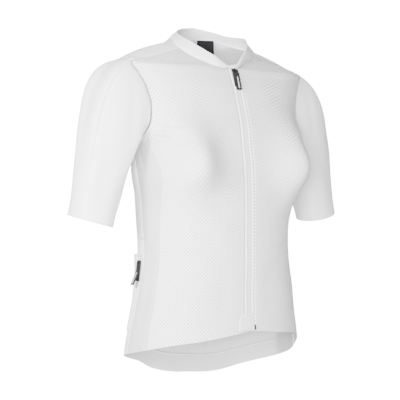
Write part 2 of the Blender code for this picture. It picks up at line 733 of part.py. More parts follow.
def joined(base, extra, operation):
    """A Boolean of two objects, with the second kept only as a hidden tool."""
    extra.hide_render = True
    extra.display_type = "WIRE"
    change = base.modifiers.new(operation.lower(), "BOOLEAN")
    change.operation = operation
    change.solver = "EXACT"
    change.object = extra
    return base


def make_slider(name, frame, finish):
    """A slider body with a bridge over it, and the tunnel that the pull's pin is in."""
    body = prism(SLIDER_OUTLINE, LAYER_GAP * 1000, LAYER_GAP * 1000 + SLIDER_THICK)
    slider = add_object(name, placed(body, frame), finish)
    half = BRIDGE_WIDE / 2
    reach = TUNNEL_HALF + 1.1
    bridge = ((-reach, BRIDGE_FOOT), (reach, BRIDGE_FOOT), (reach, BRIDGE_TOP - 1.0),
              (reach - 1.0, BRIDGE_TOP), (1.0 - reach, BRIDGE_TOP), (-reach, BRIDGE_TOP - 1.0))
    tunnel = ((-TUNNEL_HALF, TUNNEL_LOW), (TUNNEL_HALF, TUNNEL_LOW),
              (TUNNEL_HALF, TUNNEL_HIGH), (-TUNNEL_HALF, TUNNEL_HIGH))
    arch = add_object(name + "_bridge", placed(profile_prism(bridge, -half, half), frame), finish)
    hole = add_object(name + "_tunnel", placed(profile_prism(tunnel, -2, 2), frame), finish)
    joined(slider, arch, "UNION")
    joined(slider, hole, "DIFFERENCE")
    return slider


def make_pull(name, frame, finish, splay_deg, lean):
    """Two tabs moulded together round a pin; the front one may swing away below."""
    def leaned(points):
        return [(x + lean * min(0, y - SLOT_FOOT), y) for x, y in points]

    origin = np.asarray(frame[0]) + np.asarray(frame[3]) * HINGE_RISE / 1000
    half, foot = BACK_TAB["half"], BACK_TAB["foot"]
    top = PIN_RADIUS
    outline = [(-half, top), (-SLOT_HALF, top), (-SLOT_HALF, SLOT_FOOT), (SLOT_HALF, SLOT_FOOT),
               (SLOT_HALF, top), (half, top), (half, SLOT_FOOT), (half, foot), (-half, foot),
               (-half, SLOT_FOOT)]
    tab = add_object(
        name, placed(prism(leaned(outline), BACK_TAB["low"], BACK_TAB["high"]), frame), finish,
        location=origin,
    )
    ring = [
        (PIN_RADIUS * math.cos(a), HINGE_RISE + PIN_RADIUS * math.sin(a))
        for a in np.linspace(0, 2 * math.pi, 8, endpoint=False) + math.pi / 8
    ]
    pin = profile_prism(ring, -SLOT_HALF - 0.6, SLOT_HALF + 0.6)
    joined(tab, add_object(name + "_pin", placed(pin, frame), finish), "UNION")

    left, right, low, high = FRONT_TAB["left"], FRONT_TAB["right"], BACK_TAB["high"], FRONT_TAB["high"]
    bend, foot = -16.0, FRONT_TAB["foot"]
    swing = math.tan(math.radians(splay_deg))
    front = bmesh.new()
    rows = []
    for up in (SLOT_FOOT - 0.5, bend, foot):
        out = swing * max(0, bend - up)
        shift = lean * min(0, up - SLOT_FOOT)
        rows.append([
            front.verts.new((x + shift, up, z + out))
            for x, z in ((left, low - 0.2), (right, low - 0.2), (right, high), (left, high))
        ])
    for a, b in zip(rows, rows[1:]):
        for k in range(4):
            n = (k + 1) % 4
            front.faces.new((a[k], a[n], b[n], b[k]))
    front.faces.new(rows[0])
    front.faces.new(rows[-1])
    joined(tab, add_object(name + "_front", placed(front, frame), finish), "UNION")
    return tab


def face_frame(low, high, across_hint, below, rise):
    """A frame on the flat face between two points, `below` metres under the upper."""
    low, high = np.asarray(low, float), np.asarray(high, float)
    up = (high - low) / np.linalg.norm(high - low)
    across = np.asarray(across_hint, float)
    across = across - up * (across @ up)
    across /= np.linalg.norm(across)
    out = np.cross(across, up)
    return high - up * below + out * rise, across, up, out


def make_zip_hardware(tape, tape_lift, metal, black):
    top, under = (torso_point(*centre_strip((0.0,))[row, 0]) for row in (-1, -2))
    front = face_frame(under, top, (1, 0, 0), FRONT_SLIDER_BELOW, 0.0)
    make_slider("zip_slider", front, metal)
    make_pull("zip_pull", front, black, 0.0, PULL_LEAN)

    high, low = tape[-1].mean(axis=0), tape[-2].mean(axis=0)
    across = tape[-1, 1] - tape[-1, 0]
    facing = tape_lift[-1].mean(axis=0)
    if np.cross(across, high - low) @ facing < 0:
        across = -across
    pocket = face_frame(low, high, across, POCKET_SLIDER_BELOW, LAYER_GAP + TAPE_THICK)
    make_slider("pocket_slider", pocket, metal)
    make_pull("pocket_pull", pocket, black, 20.0, 0.0)


def build():
    for old in list(bpy.data.objects):
        bpy.data.objects.remove(old, do_unlink=True)
    smooth_cloth = material("smooth_knit", WHITE)
    mesh_cloth = material("dotted_mesh", (0.86, 0.86, 0.86))
    side_cloth = material("side_mesh", (0.82, 0.82, 0.82))
    tape_cloth = material("zip_tape", GREY)
    black = material("black_rubber", BLACK, 0.5)
    metal = material("black_metal", BLACK, 0.35, 0.6)

    sewn = ("left", "right", "top")
    body_wall("front_right", front_net(-1), mesh_cloth, draw=sewn)
    body_wall("front_left", front_net(1), mesh_cloth, draw=sewn)
    body_wall("side_right", side_net(-1), side_cloth, draw=sewn)
    body_wall("side_left", side_net(1), side_cloth, draw=sewn)
    back_wall(smooth_cloth)

    for side, name in ((-1, "sleeve_right"), (1, "sleeve_left")):
        net = sleeve_net(side)
        normals = net_normals(net, ring=True)
        middle = net.mean(axis=1, keepdims=True)
        facing = np.sign(((net - middle) * normals).sum(-1).mean())
        inner = net - normals * facing * WALL
        add_object(name, wall_mesh(net, inner, ring=True), smooth_cloth)

    net = collar_net()
    normals = net_normals(net)
    facing = np.sign((net * np.array([1, 1, 0]) * normals).sum(-1).mean())
    add_object("collar", wall_mesh(net, net - normals * facing * WALL), smooth_cloth)

    make_front_zip(tape_cloth, smooth_cloth, smooth_cloth)
    tape, lift = make_back_pieces(smooth_cloth, smooth_cloth, tape_cloth)
    make_label(black)
    make_zip_hardware(tape, lift, metal, black)


build()
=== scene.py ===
# %% [markdown]
# # A women's short-sleeved cycling jersey
# The jersey is shown as it is worn, with nobody in it. Its solid pieces come from a
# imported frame, in metres, +Z up, the front facing -Y and the wearer's right at -X.
# Each cloth piece is made again here as a thin shell on the same body surface, with
# its folds, seams, stitches and knit. First the frame is loaded and measured.

# %% Load the frame
import json
import math

import bmesh
import bpy
import numpy as np
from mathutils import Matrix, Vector

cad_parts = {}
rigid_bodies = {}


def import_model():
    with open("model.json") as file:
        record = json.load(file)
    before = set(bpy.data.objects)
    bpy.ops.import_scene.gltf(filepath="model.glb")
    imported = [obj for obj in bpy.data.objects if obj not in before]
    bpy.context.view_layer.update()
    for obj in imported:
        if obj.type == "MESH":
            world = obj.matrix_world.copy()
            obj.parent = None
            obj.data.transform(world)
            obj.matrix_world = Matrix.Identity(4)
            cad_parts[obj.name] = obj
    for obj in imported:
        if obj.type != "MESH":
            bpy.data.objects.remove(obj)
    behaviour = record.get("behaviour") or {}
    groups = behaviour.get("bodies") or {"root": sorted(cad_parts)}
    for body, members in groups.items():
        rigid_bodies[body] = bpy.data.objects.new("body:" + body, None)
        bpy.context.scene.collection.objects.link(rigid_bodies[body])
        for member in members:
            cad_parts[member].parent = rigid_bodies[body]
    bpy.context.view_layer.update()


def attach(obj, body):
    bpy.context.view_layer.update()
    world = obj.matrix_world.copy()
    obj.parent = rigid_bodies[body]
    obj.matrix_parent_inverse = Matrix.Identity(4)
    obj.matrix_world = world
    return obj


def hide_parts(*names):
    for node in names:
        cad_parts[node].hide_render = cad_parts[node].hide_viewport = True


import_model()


# %% [markdown]
# ## Camera, light and backdrop
# A studio picture of white cloth needs a big soft light from one side, so that the
# knit and the folds read. A second stands by the camera, one lights the back, and one
# lifts the shade from below. The camera stands to the wearer's right of centre front,
# level with the chest.

# %% Camera
CAMERA_AT = Vector((-1.1205, -1.4342, -0.235))
FOCAL = 94.14  # mm on a 36 mm wide sensor
ASIDE, DOWN = 12 / 1046, 20 / 1046  # how far the aim is from the body's middle

camera_data = bpy.data.cameras.new("studio_camera")
camera_data.lens, camera_data.sensor_width = FOCAL, 36
camera_data.clip_start, camera_data.clip_end = 0.05, 30
camera = bpy.data.objects.new("studio_camera", camera_data)
camera.location = CAMERA_AT
ahead, across = Vector((0.6157, 0.788, 0)), Vector((0.788, -0.6157, 0))
aim = ahead - across * ASIDE - Vector((0, 0, 1)) * DOWN
camera.rotation_euler = aim.to_track_quat("-Z", "Y").to_euler()
bpy.context.collection.objects.link(camera)
bpy.context.scene.camera = camera
print("camera aims", tuple(round(v, 3) for v in aim))


# %% Lights
def area_light(name, place, target, size, power):
    data = bpy.data.lights.new(name, "AREA")
    data.shape, data.size, data.energy = "DISK", size, power
    lamp = bpy.data.objects.new(name, data)
    lamp.location = place
    facing = Vector(target) - Vector(place)
    lamp.rotation_euler = facing.to_track_quat("-Z", "Y").to_euler()
    bpy.context.collection.objects.link(lamp)
    return lamp


MIDDLE = (0, 0, -0.27)
key = area_light("key_light", (-1.34, -0.49, 0.06), MIDDLE, 0.5, 80)
front_light = area_light("front_light", (-0.82, -0.90, -0.16), MIDDLE, 0.5, 56)
back_light = area_light("back_light", (1.3, 1.5, 0.6), MIDDLE, 0.7, 85)
floor_bounce = area_light("floor_bounce", (-0.34, -0.93, -1.26), MIDDLE, 1.0, 24)

world = bpy.data.worlds.new("studio")
bpy.context.scene.world = world
world.use_nodes = True
world.node_tree.nodes["Background"].inputs["Color"].default_value = (1, 1, 1, 1)
world.node_tree.nodes["Background"].inputs["Strength"].default_value = 1.05
print("lights:", key.name, front_light.name, back_light.name)


# %% [markdown]
# ## The body surface
# Every panel is cut from one smooth surface, read by an angle (0 at centre front, 90
# at the wearer's left) and a height. The tables below are the garment's own sizes.
# A smooth curve that never overshoots joins their rows.

# %% Sizes of the body
def table(names, *rows):
    return dict(zip(names.split(), np.array(rows, float).T))


TORSO = table(
    "height half_width centre_y front back squareness",
    (-0.610, 0.178, 0.000, 0.112, 0.110, 2.3),
    (-0.500, 0.165, -0.003, 0.103, 0.094, 2.3),
    (-0.430, 0.154, -0.006, 0.096, 0.082, 2.3),
    (-0.348, 0.143, -0.002, 0.101, 0.084, 2.3),
    (-0.270, 0.146, 0.000, 0.103, 0.086, 2.3),
    (-0.211, 0.155, 0.000, 0.100, 0.085, 2.3),
    (-0.176, 0.155, 0.000, 0.095, 0.090, 2.4),
    (-0.150, 0.165, 0.002, 0.093, 0.093, 2.45),
    (-0.119, 0.172, 0.008, 0.092, 0.089, 2.4),
    (-0.083, 0.187, 0.016, 0.090, 0.079, 2.5),
    (-0.060, 0.196, 0.019, 0.083, 0.073, 2.7),
    (-0.047, 0.197, 0.020, 0.078, 0.069, 3.0),
    (-0.040, 0.192, 0.020, 0.067, 0.067, 3.0),
    (-0.034, 0.174, 0.020, 0.061, 0.065, 3.0),
    (-0.027, 0.160, 0.020, 0.053, 0.063, 3.0),
    (-0.0195, 0.145, 0.020, 0.045, 0.061, 2.8),
    (-0.0115, 0.124, 0.020, 0.0375, 0.058, 2.6),
    (-0.0035, 0.096, 0.020, 0.0325, 0.055, 2.4),
    (0.003, 0.077, 0.020, 0.030, 0.052, 2.3),
    (0.0095, 0.069, 0.020, 0.029, 0.049, 2.3),
    (0.018, 0.064, 0.020, 0.028, 0.044, 2.3),
)
# Fullness that the darts and the cut give, each a soft swelling moved along Y.
FULLNESS = table(
    "across height amount width_in width_out rise_up rise_down",
    (0.120, -0.2104, -0.0497, 0.0486, 0.0430, 0.0620, 0.0557),
)
# Lines that the cutter draws, by the angle from centre front. lean lifts a line on
# the wearer's left and drops it on the right, as the worn garment hangs.
NECKLINE = table(
    "angle height lean",
    (0, -0.0465, 0), (13.8, -0.0450, 0.0015), (23.3, -0.0420, 0.0025),
    (31.7, -0.0375, 0.003), (44, -0.0310, 0.0025), (52.9, -0.0255, 0.0015),
    (64.8, -0.0155, 0), (74.1, -0.0075, -0.002), (84.7, -0.0005, -0.0025),
    (104.3, 0.0080, -0.0015), (126.5, 0.0146, 0), (151, 0.016, 0), (180, 0.016, 0),
)
HEM = table(
    "angle height lean",
    (0, -0.486, 0), (20, -0.490, 0), (45, -0.497, 0), (60, -0.502, -0.001),
    (73, -0.514, -0.006), (87, -0.5325, -0.0150), (108, -0.5505, -0.0185),
    (130, -0.568, -0.0180), (150, -0.581, -0.010), (165, -0.584, -0.004), (180, -0.5855, 0),
)
SIDE_FRONT = table(
    "height angle",
    (-0.520, 80), (-0.430, 78.5), (-0.320, 76.5), (-0.235, 77.0),
    (-0.200, 79.5), (-0.183, 82.5), (-0.170, 88),
)
SIDE_BACK = table(
    "height angle",
    (-0.540, 97), (-0.430, 94), (-0.370, 91.5), (-0.230, 91.5), (-0.172, 98),
)
# The armhole seam, from the yoke seam's outer end down the front of the arm.
ARMHOLE_FRONT = table(
    "step angle height",
    (0.0, 77.4, -0.0400), (0.18, 73.2, -0.065), (0.35, 71.7, -0.085), (0.5, 71.8, -0.102),
    (0.65, 73.2, -0.119), (0.8, 76.2, -0.1416), (0.9, 80.8, -0.156), (1.0, 88.0, -0.170),
)
# The same seam up the back of the arm, from the armpit to the shoulder's ridge.
ARMHOLE_BACK = table(
    "step angle height",
    (0.0, 98.0, -0.172), (0.12, 106.0, -0.164), (0.35, 113.0, -0.136), (0.6, 113.0, -0.100),
    (0.8, 107.0, -0.066), (0.93, 97.0, -0.042), (1.0, 90.0, -0.0345),
)
YOKE_INNER_ANGLE = 66.8
COLLAR_TOP = table(
    "angle height lean",
    (0, -0.0408, 0), (8, -0.0400, 0.0015), (21, -0.0305, 0.004), (35, -0.020, 0.005),
    (47, -0.012, 0.006), (62, -0.002, 0.006), (72, 0.005, 0.006), (90, 0.013, 0.004),
    (120, 0.0225, 0), (150, 0.031, 0), (180, 0.035, 0),
)
COLLAR_HALF_WIDTH, COLLAR_FRONT, COLLAR_BACK = 0.0650, 0.0570, 0.0540


# %% Reading the surface
def smooth(known, values, at):
    """A cubic through (known, values) that never overshoots, level past the ends."""
    known, values = np.asarray(known, float), np.asarray(values, float)
    at = np.clip(np.asarray(at, float), known[0], known[-1])
    step = np.diff(known)
    slope = np.diff(values) / step
    inner = np.zeros(len(known))
    same = slope[1:] * slope[:-1] > 0
    before, after = step[:-1], step[1:]
    w1, w2 = 2 * after + before, after + 2 * before
    with np.errstate(divide="ignore", invalid="ignore"):
        mean = (w1 + w2) / (w1 / slope[:-1] + w2 / slope[1:])
    inner[1:-1] = np.where(same, mean, 0.0)
    inner[0], inner[-1] = slope[0], slope[-1]
    k = np.clip(np.searchsorted(known, at, side="right") - 1, 0, len(step) - 1)
    t = (at - known[k]) / step[k]
    h = step[k]
    return (
        values[k] * (1 + 2 * t) * (1 - t) ** 2
        + inner[k] * h * t * (1 - t) ** 2
        + values[k + 1] * t * t * (3 - 2 * t)
        + inner[k + 1] * h * t * t * (t - 1)
    )


def body_point(angle, height):
    """The body surface at an angle in degrees and a height; arrays give (..., 3)."""
    angle, height = np.broadcast_arrays(
        np.asarray(angle, float), np.asarray(height, float)
    )
    columns = {n: smooth(TORSO["height"], TORSO[n], height) for n in TORSO if n != "height"}
    turn = np.radians(angle)
    s, c = np.sin(turn), np.cos(turn)
    depth = np.where(c > 0, columns["front"], columns["back"])
    n = columns["squareness"]
    across = np.abs(s) / columns["half_width"]
    along = np.abs(c) / depth
    radius = (across**n + along**n) ** (-1 / n)
    x, y = radius * s, columns["centre_y"] - radius * c
    facing = np.clip(c * 3.0, 0, 1)
    facing = facing * facing * (3 - 2 * facing)
    for k in range(len(FULLNESS["across"])):
        row = {name: FULLNESS[name][k] for name in FULLNESS}
        side = np.abs(x) - row["across"]
        up = height - row["height"]
        wide = np.where(side > 0, row["width_out"], row["width_in"])
        tall = np.where(up > 0, row["rise_up"], row["rise_down"])
        swell = np.exp(-((side / wide) ** 2) - (up / tall) ** 2)
        y = y + row["amount"] * swell * facing
    return np.stack([x, y, height], axis=-1)


def body_normal(angle, height):
    """The unit normal that points out of the body, by small steps each way."""
    turn, lift = 0.2, 0.0005
    around = body_point(np.asarray(angle) + turn, height)
    around = around - body_point(np.asarray(angle) - turn, height)
    upward = body_point(angle, np.asarray(height) + lift)
    upward = upward - body_point(angle, np.asarray(height) - lift)
    normal = np.cross(around, upward)
    return normal / np.linalg.norm(normal, axis=-1, keepdims=True)


print("waist girth, m:", round(float(np.linalg.norm(np.diff(
    body_point(np.linspace(0, 360, 181), np.full(181, -0.348)), axis=0), axis=1).sum()), 3))


# %% [markdown]
# ## Cutting lines
# A panel is bounded by the lines a cutter would draw: hem, centre front, neckline,
# shoulder, armhole and side seams. Two panels that meet share the very same line,
# and its points are counted in the rows of the solid panels, so both lie together.

# %% Lines on the cloth
TAPE_RIGHT, TAPE_LEFT, EDGE_STRIP = 0.0058, 0.0048, 0.0036
ROWS_SEAM, ROWS_ARMHOLE, ROWS_OVER, ROWS_NECK = 17, 12, 4, 6
COLUMNS_FRONT, COLUMNS_BACK, COLUMNS_SIDE = 12, 12, 4


def line_height(line, angle):
    """A cutter's line at a signed angle, with its lean."""
    size = np.abs(angle)
    level = smooth(line["angle"], line["height"], size)
    return level + np.sign(angle) * smooth(line["angle"], line["lean"], size)


def edge_angle(offset, heights):
    middle = smooth(TORSO["height"], TORSO["centre_y"], heights)
    depth = middle - body_point(0.0, heights)[..., 1]
    return np.degrees(np.arctan2(offset, depth))


def centre_line(offset):
    """Up the front, a set distance to the side of centre front."""
    fine = np.linspace(float(line_height(HEM, 0.0)), float(line_height(NECKLINE, 0.0)), 300)
    return np.stack([edge_angle(offset, fine), fine], axis=1)


def ruled_line(line, start, end, side, first=None, last=None):
    """Along the hem or the neckline, with its end points given where they are known."""
    fine = np.linspace(start, end, 300)
    points = np.stack([fine, line_height(line, side * fine)], axis=1)
    if first is not None:
        points[0] = first
    if last is not None:
        points[-1] = last
    return points


def side_seam(rows, side):
    low = float(line_height(HEM, side * rows["angle"][0]))
    fine = np.linspace(low, rows["height"][-1], 300)
    return np.stack([smooth(rows["height"], rows["angle"], fine), fine], axis=1)


def armhole_line(rows):
    fine = np.linspace(0, 1, 300)
    return np.stack([smooth(rows["step"], rows[k], fine) for k in ("angle", "height")], axis=1)


ARM_FRONT, ARM_BACK = armhole_line(ARMHOLE_FRONT), armhole_line(ARMHOLE_BACK)
share = np.linspace(0, 1, 100)[:, None]
ARMPIT = ARM_FRONT[-1] + (ARM_BACK[0] - ARM_FRONT[-1]) * share
ARMPIT[:, 1] -= 0.0010 * np.sin(np.pi * share[:, 0])
OVER = ARM_BACK[-1] + (ARM_FRONT[0] - ARM_BACK[-1]) * np.hstack([share, share * share])
print("armhole lines ready:", len(ARM_FRONT) + len(ARM_BACK) + len(OVER), "points")


# %% Walking along lines and filling panels
def walk(line, at):
    """Points at shares, 0 to 1, of a line's length on the cloth."""
    points = body_point(line[:, 0], line[:, 1])
    run = np.concatenate([[0], np.cumsum(np.linalg.norm(np.diff(points, axis=0), axis=1))])
    where = np.asarray(at) * run[-1]
    return np.stack([np.interp(where, run, line[:, k]) for k in (0, 1)], axis=-1)


def joined_edge(parts, rows):
    """Lines one after another, each with its count of rows, read at row positions."""
    out, start = np.empty((len(rows), 2)), 0
    for line, count in parts:
        here = (rows >= start - 1e-9) & (rows <= start + count + 1e-9)
        out[here] = walk(line, np.clip((rows[here] - start) / count, 0, 1))
        start += count
    return out


def fill(bottom, top, left, right, ends, u, v):
    """A net between four edges: each inside point is eased from all four (Coons).
    ends are the panel's corners, at both ends of the bottom and then of the top."""
    u, v = u[None, :, None], v[:, None, None]
    across = left[:, None] * (1 - u) + right[:, None] * u
    along = bottom[None] * (1 - v) + top[None] * v
    corners = (ends[0] * (1 - u) * (1 - v) + ends[1] * u * (1 - v)
               + ends[2] * (1 - u) * v + ends[3] * u * v)
    return across + along - corners


def places(count, extra):
    """Positions from 0 to count, six to each row, and extra ones beside both ends."""
    extra = np.asarray(extra)
    return np.unique(np.concatenate([np.arange(count * 6 + 1) / 6, extra, count - extra]))


def panel(bottom, top, left, right, columns, at=None, extra=(0.055, 0.11)):
    """bottom and top are lines; left and right are lists of (line, rows). at gives
    the row and column positions to read, and is the whole panel if left out."""
    rows = sum(count for _, count in left)
    v, u = at if at else (places(rows, (0.035, 0.09)), places(columns, extra))
    ends = bottom[0], bottom[-1], top[0], top[-1]
    left, right = joined_edge(left, v), joined_edge(right, v)
    bottom, top = walk(bottom, u / columns), walk(top, u / columns)
    return fill(bottom, top, left, right, ends, u / columns, v / rows)


def signed(net, side):
    return net * np.array([side, 1.0])


print("a net of", places(12, (0.055, 0.11)).size, "columns for a front")


# %% The panels' nets
def front_net(side):
    centre = centre_line((TAPE_LEFT if side > 0 else TAPE_RIGHT) + EDGE_STRIP)
    seam = side_seam(SIDE_FRONT, side)
    neck = ruled_line(NECKLINE, centre[-1, 0], YOKE_INNER_ANGLE, side, first=centre[-1])
    hem = ruled_line(HEM, centre[0, 0], seam[0, 0], side, centre[0], seam[0])
    yoke = np.stack([neck[-1], ARM_FRONT[0]])
    yoke = yoke[0] + (yoke[1] - yoke[0]) * np.linspace(0, 1, 100)[:, None]
    left = [(centre, ROWS_SEAM + ROWS_ARMHOLE - ROWS_NECK), (neck, ROWS_NECK)]
    right = [(seam, ROWS_SEAM), (ARM_FRONT[::-1], ROWS_ARMHOLE)]
    beside_zip = (0.02, 0.045, 0.07, 0.095, 0.12, 0.145, 0.2, 0.24, 0.29)
    return signed(panel(hem, yoke, left, right, COLUMNS_FRONT, extra=beside_zip), side)


def back_half_net(side, at=None):
    height = np.linspace(float(line_height(HEM, 180.0)), float(line_height(NECKLINE, 180.0)), 300)
    middle = np.stack([np.full(300, 180.0), height], axis=1)
    neck = ruled_line(NECKLINE, 180.0, YOKE_INNER_ANGLE, side, first=middle[-1])
    seam = side_seam(SIDE_BACK, side)
    hem = ruled_line(HEM, 180.0, seam[0, 0], side, middle[0], seam[0])
    yoke = np.stack([neck[-1], ARM_FRONT[0]])
    yoke = yoke[0] + (yoke[1] - yoke[0]) * np.linspace(0, 1, 100)[:, None]
    rows = ROWS_SEAM + ROWS_ARMHOLE + ROWS_OVER
    left = [(middle, rows - ROWS_NECK - ROWS_OVER), (neck, ROWS_NECK + ROWS_OVER)]
    right = [(seam, ROWS_SEAM), (ARM_BACK, ROWS_ARMHOLE), (OVER, ROWS_OVER)]
    return signed(panel(hem, yoke, left, right, COLUMNS_BACK, at), side)


def side_net(side):
    front, back = side_seam(SIDE_FRONT, side), side_seam(SIDE_BACK, side)
    hem = ruled_line(HEM, front[0, 0], back[0, 0], side, front[0], back[0])
    net = panel(hem, ARMPIT, [(front, ROWS_SEAM)], [(back, ROWS_SEAM)], COLUMNS_SIDE)
    return signed(net, side)


print("front net", front_net(1).shape, "back half", back_half_net(1).shape)


# %% [markdown]
# ## Folds
# Worn knit pulls and slackens: short creases spread from the armpit, the cloth is
# slack under the bust and over the small of the back. Each fold is a row: two ends
# on the body, how far its middle bends, its width and its depth. The depth swells
# and dies along the fold, and a soft rise stands on both sides of a trough.

# %% The folds on the body
FOLDS = table(
    "angle_a height_a angle_b height_b bend width depth",
    # right armpit, spreading over the front and the side
    (-74, -0.154, -64, -0.146, 0.002, 0.0026, -0.0030), (-76, -0.158, -56, -0.150, -0.004, 0.0040, 0.0012),
    (-77, -0.161, -66, -0.158, 0.002, 0.0026, -0.0030), (-78, -0.164, -67, -0.165, -0.002, 0.0024, -0.0026),
    (-79, -0.166, -64, -0.182, 0.003, 0.0028, -0.0032), (-82, -0.171, -68, -0.196, -0.005, 0.0045, 0.0011),
    (-90, -0.176, -84, -0.225, 0.004, 0.0050, -0.0014), (-95, -0.178, -93, -0.240, -0.003, 0.0070, 0.0010),
    # left armpit, alike but uneven
    (74, -0.153, 63, -0.143, -0.002, 0.0028, -0.0026), (77, -0.158, 57, -0.154, 0.004, 0.0045, 0.0012),
    (78, -0.163, 66, -0.164, -0.002, 0.0026, -0.0026), (80, -0.167, 66, -0.184, -0.003, 0.0030, -0.0030),
    (85, -0.173, 75, -0.207, 0.005, 0.0055, 0.0010),
    (93, -0.177, 90, -0.232, -0.003, 0.0065, -0.0011),
    # slack below the bust and towards the zip
    (-50, -0.262, -12, -0.292, -0.010, 0.0130, -0.0013), (-56, -0.300, -20, -0.338, 0.012, 0.0150, 0.0010),
    (48, -0.268, 14, -0.290, 0.008, 0.0130, -0.0013), (58, -0.310, 22, -0.330, -0.010, 0.0150, 0.0010),
    # long soft falls over the belly and the hip
    (-30, -0.372, -36, -0.480, 0.008, 0.0170, -0.0013), (-58, -0.380, -64, -0.490, -0.008, 0.0150, -0.0012),
    (26, -0.380, 33, -0.480, -0.006, 0.0170, -0.0012), (55, -0.372, 60, -0.486, 0.008, 0.0150, -0.0012),
    (-84, -0.330, -87, -0.500, 0.004, 0.0090, -0.0010), (84, -0.340, 88, -0.505, -0.004, 0.0090, -0.0010),
    # back: from the armholes towards the spine, and over the small of the back
    (118, -0.140, 150, -0.170, 0.010, 0.0120, -0.0016), (116, -0.118, 146, -0.122, -0.008, 0.0110, 0.0013),
    (-118, -0.144, -152, -0.180, -0.010, 0.0120, -0.0016), (-115, -0.120, -148, -0.128, 0.008, 0.0110, 0.0013),
    (126, -0.300, 170, -0.318, 0.010, 0.0120, -0.0017), (-120, -0.292, -172, -0.306, -0.012, 0.0120, -0.0017),
    (140, -0.336, 205, -0.340, 0.008, 0.0130, 0.0015), (128, -0.262, 160, -0.276, -0.006, 0.0110, 0.0011),
    (-130, -0.258, -164, -0.268, 0.006, 0.0110, 0.0011),
    (172, -0.050, 190, -0.052, -0.006, 0.0110, -0.0012), (140, -0.070, 165, -0.090, 0.005, 0.0120, -0.0010),
    (-142, -0.074, -166, -0.096, -0.005, 0.0120, -0.0010),
)
print("folds on the body:", len(FOLDS["depth"]))


# %% How a fold moves the cloth
def fold_offset(points, paths, widths, depths):
    """Each path's soft trough or ridge, summed at the points, by distance from it."""
    flat = points.reshape(-1, 3)
    total = np.zeros(len(flat))
    for path, width, depth in zip(paths, widths, depths):
        reach = np.linalg.norm(flat - path.mean(axis=0), axis=1) < 0.5 * len(path) * 0.02 + 0.1
        gap = np.linalg.norm(flat[reach, None] - path[None], axis=2)
        nearest = gap.argmin(axis=1)
        along = nearest / (len(path) - 1)
        swell = np.sin(np.pi * np.clip(along * 0.92 + 0.04, 0, 1)) ** 0.8
        swell = swell * (1 + 0.25 * np.sin(7.0 * along + 40 * depth * 1000))
        x = gap.min(axis=1) / width
        total[reach] += depth * swell * (1 - 0.55 * x * x) * np.exp(-0.5 * x * x)
    return total.reshape(points.shape[:-1])


def body_paths():
    paths = []
    for k in range(len(FOLDS["depth"])):
        row = {name: FOLDS[name][k] for name in FOLDS}
        t = np.linspace(0, 1, 40)
        angle = row["angle_a"] + (row["angle_b"] - row["angle_a"]) * t
        height = row["height_a"] + (row["height_b"] - row["height_a"]) * t
        bend = row["bend"] * np.sin(np.pi * t)
        upright = abs(row["height_b"] - row["height_a"]) > 0.06
        angle = angle + (bend / 0.15 * 57.3 if upright else 0)
        height = height + (0 if upright else bend)
        paths.append(body_point(angle, height))
    return paths


BODY_PATHS = body_paths()


def ripple(points):
    """A very slight unevenness that no knit is without."""
    x, y, z = np.moveaxis(points, -1, 0)
    return 0.00022 * (np.sin(61 * x + 35 * z + 1.3) + np.sin(47 * y - 83 * z + 0.4)
                      + np.sin(29 * x - 71 * y + 52 * z + 2.1))


print("fold paths:", len(BODY_PATHS))


# %% [markdown]
# ## Cloth and thread materials
# Each cloth is its own material on a UV laid out in metres, so that loops and holes
# keep their true size. A knit is rows of loops: a low wavy height, painted shade in
# the hollows between loops, and slight random changes of tone. The mesh adds a lattice
# of small holes 4 mm apart aslant, drawn as dark dots: painted shade of the inside
# seen through them.

# %% Material helpers
def node(tree, kind, inputs=None, **settings):
    """One shader node, its sockets set from values or joined to other sockets."""
    made = tree.nodes.new("ShaderNode" + kind)
    for key, value in settings.items():
        setattr(made, key, value)
    for key, value in (inputs or {}).items():
        if isinstance(value, bpy.types.NodeSocket):
            tree.links.new(value, made.inputs[key])
        else:
            made.inputs[key].default_value = value
    return made


def plain(name, colour, roughness, **sockets):
    made = bpy.data.materials.new(name)
    made.use_nodes = True
    shader = made.node_tree.nodes["Principled BSDF"]
    shader.inputs["Base Color"].default_value = (*colour, 1)
    shader.inputs["Roughness"].default_value = roughness
    for key, value in sockets.items():
        shader.inputs[key.replace("_", " ")].default_value = value
    return made, made.node_tree, shader


def lattice(tree, uv, across, up, turn=0.0):
    """Distance from the nearest point of a lattice, in cells, 0 to about 0.7."""
    laid = node(tree, "Mapping", {0: uv, "Rotation": (0, 0, turn),
                                  "Scale": (1 / across, 1 / up, 1)}, vector_type="POINT")
    cell = node(tree, "VectorMath", {0: laid.outputs[0]}, operation="FRACTION")
    centred = node(tree, "VectorMath", {0: cell.outputs[0], 1: (0.5, 0.5, 0.0)},
                   operation="SUBTRACT")
    return node(tree, "VectorMath", {0: centred.outputs[0]}, operation="LENGTH").outputs["Value"]


def loops(tree, uv, across, up):
    """Rows of knitted loops as a height from -1 to 1."""
    laid = node(tree, "VectorMath", {0: uv, 1: (2 * math.pi / across, 2 * math.pi / up, 0)},
                operation="MULTIPLY")
    wave = node(tree, "VectorMath", {0: laid.outputs[0]}, operation="SINE")
    split = node(tree, "SeparateXYZ", {0: wave.outputs[0]})
    return node(tree, "Math", {0: split.outputs[0], 1: split.outputs[1]},
                operation="MULTIPLY").outputs[0]


def ramp(tree, value, low, high, to_low=0.0, to_high=1.0):
    return node(tree, "MapRange", {"Value": value, "From Min": low, "From Max": high,
                                   "To Min": to_low, "To Max": to_high},
                interpolation_type="SMOOTHSTEP").outputs[0]


def mixed(tree, factor, a, b):
    made = node(tree, "Mix", {0: factor}, data_type="RGBA")
    for socket, colour in ((made.inputs[6], a), (made.inputs[7], b)):
        if isinstance(colour, bpy.types.NodeSocket):
            tree.links.new(colour, socket)
        else:
            socket.default_value = (*colour, 1)
    return made.outputs[2]


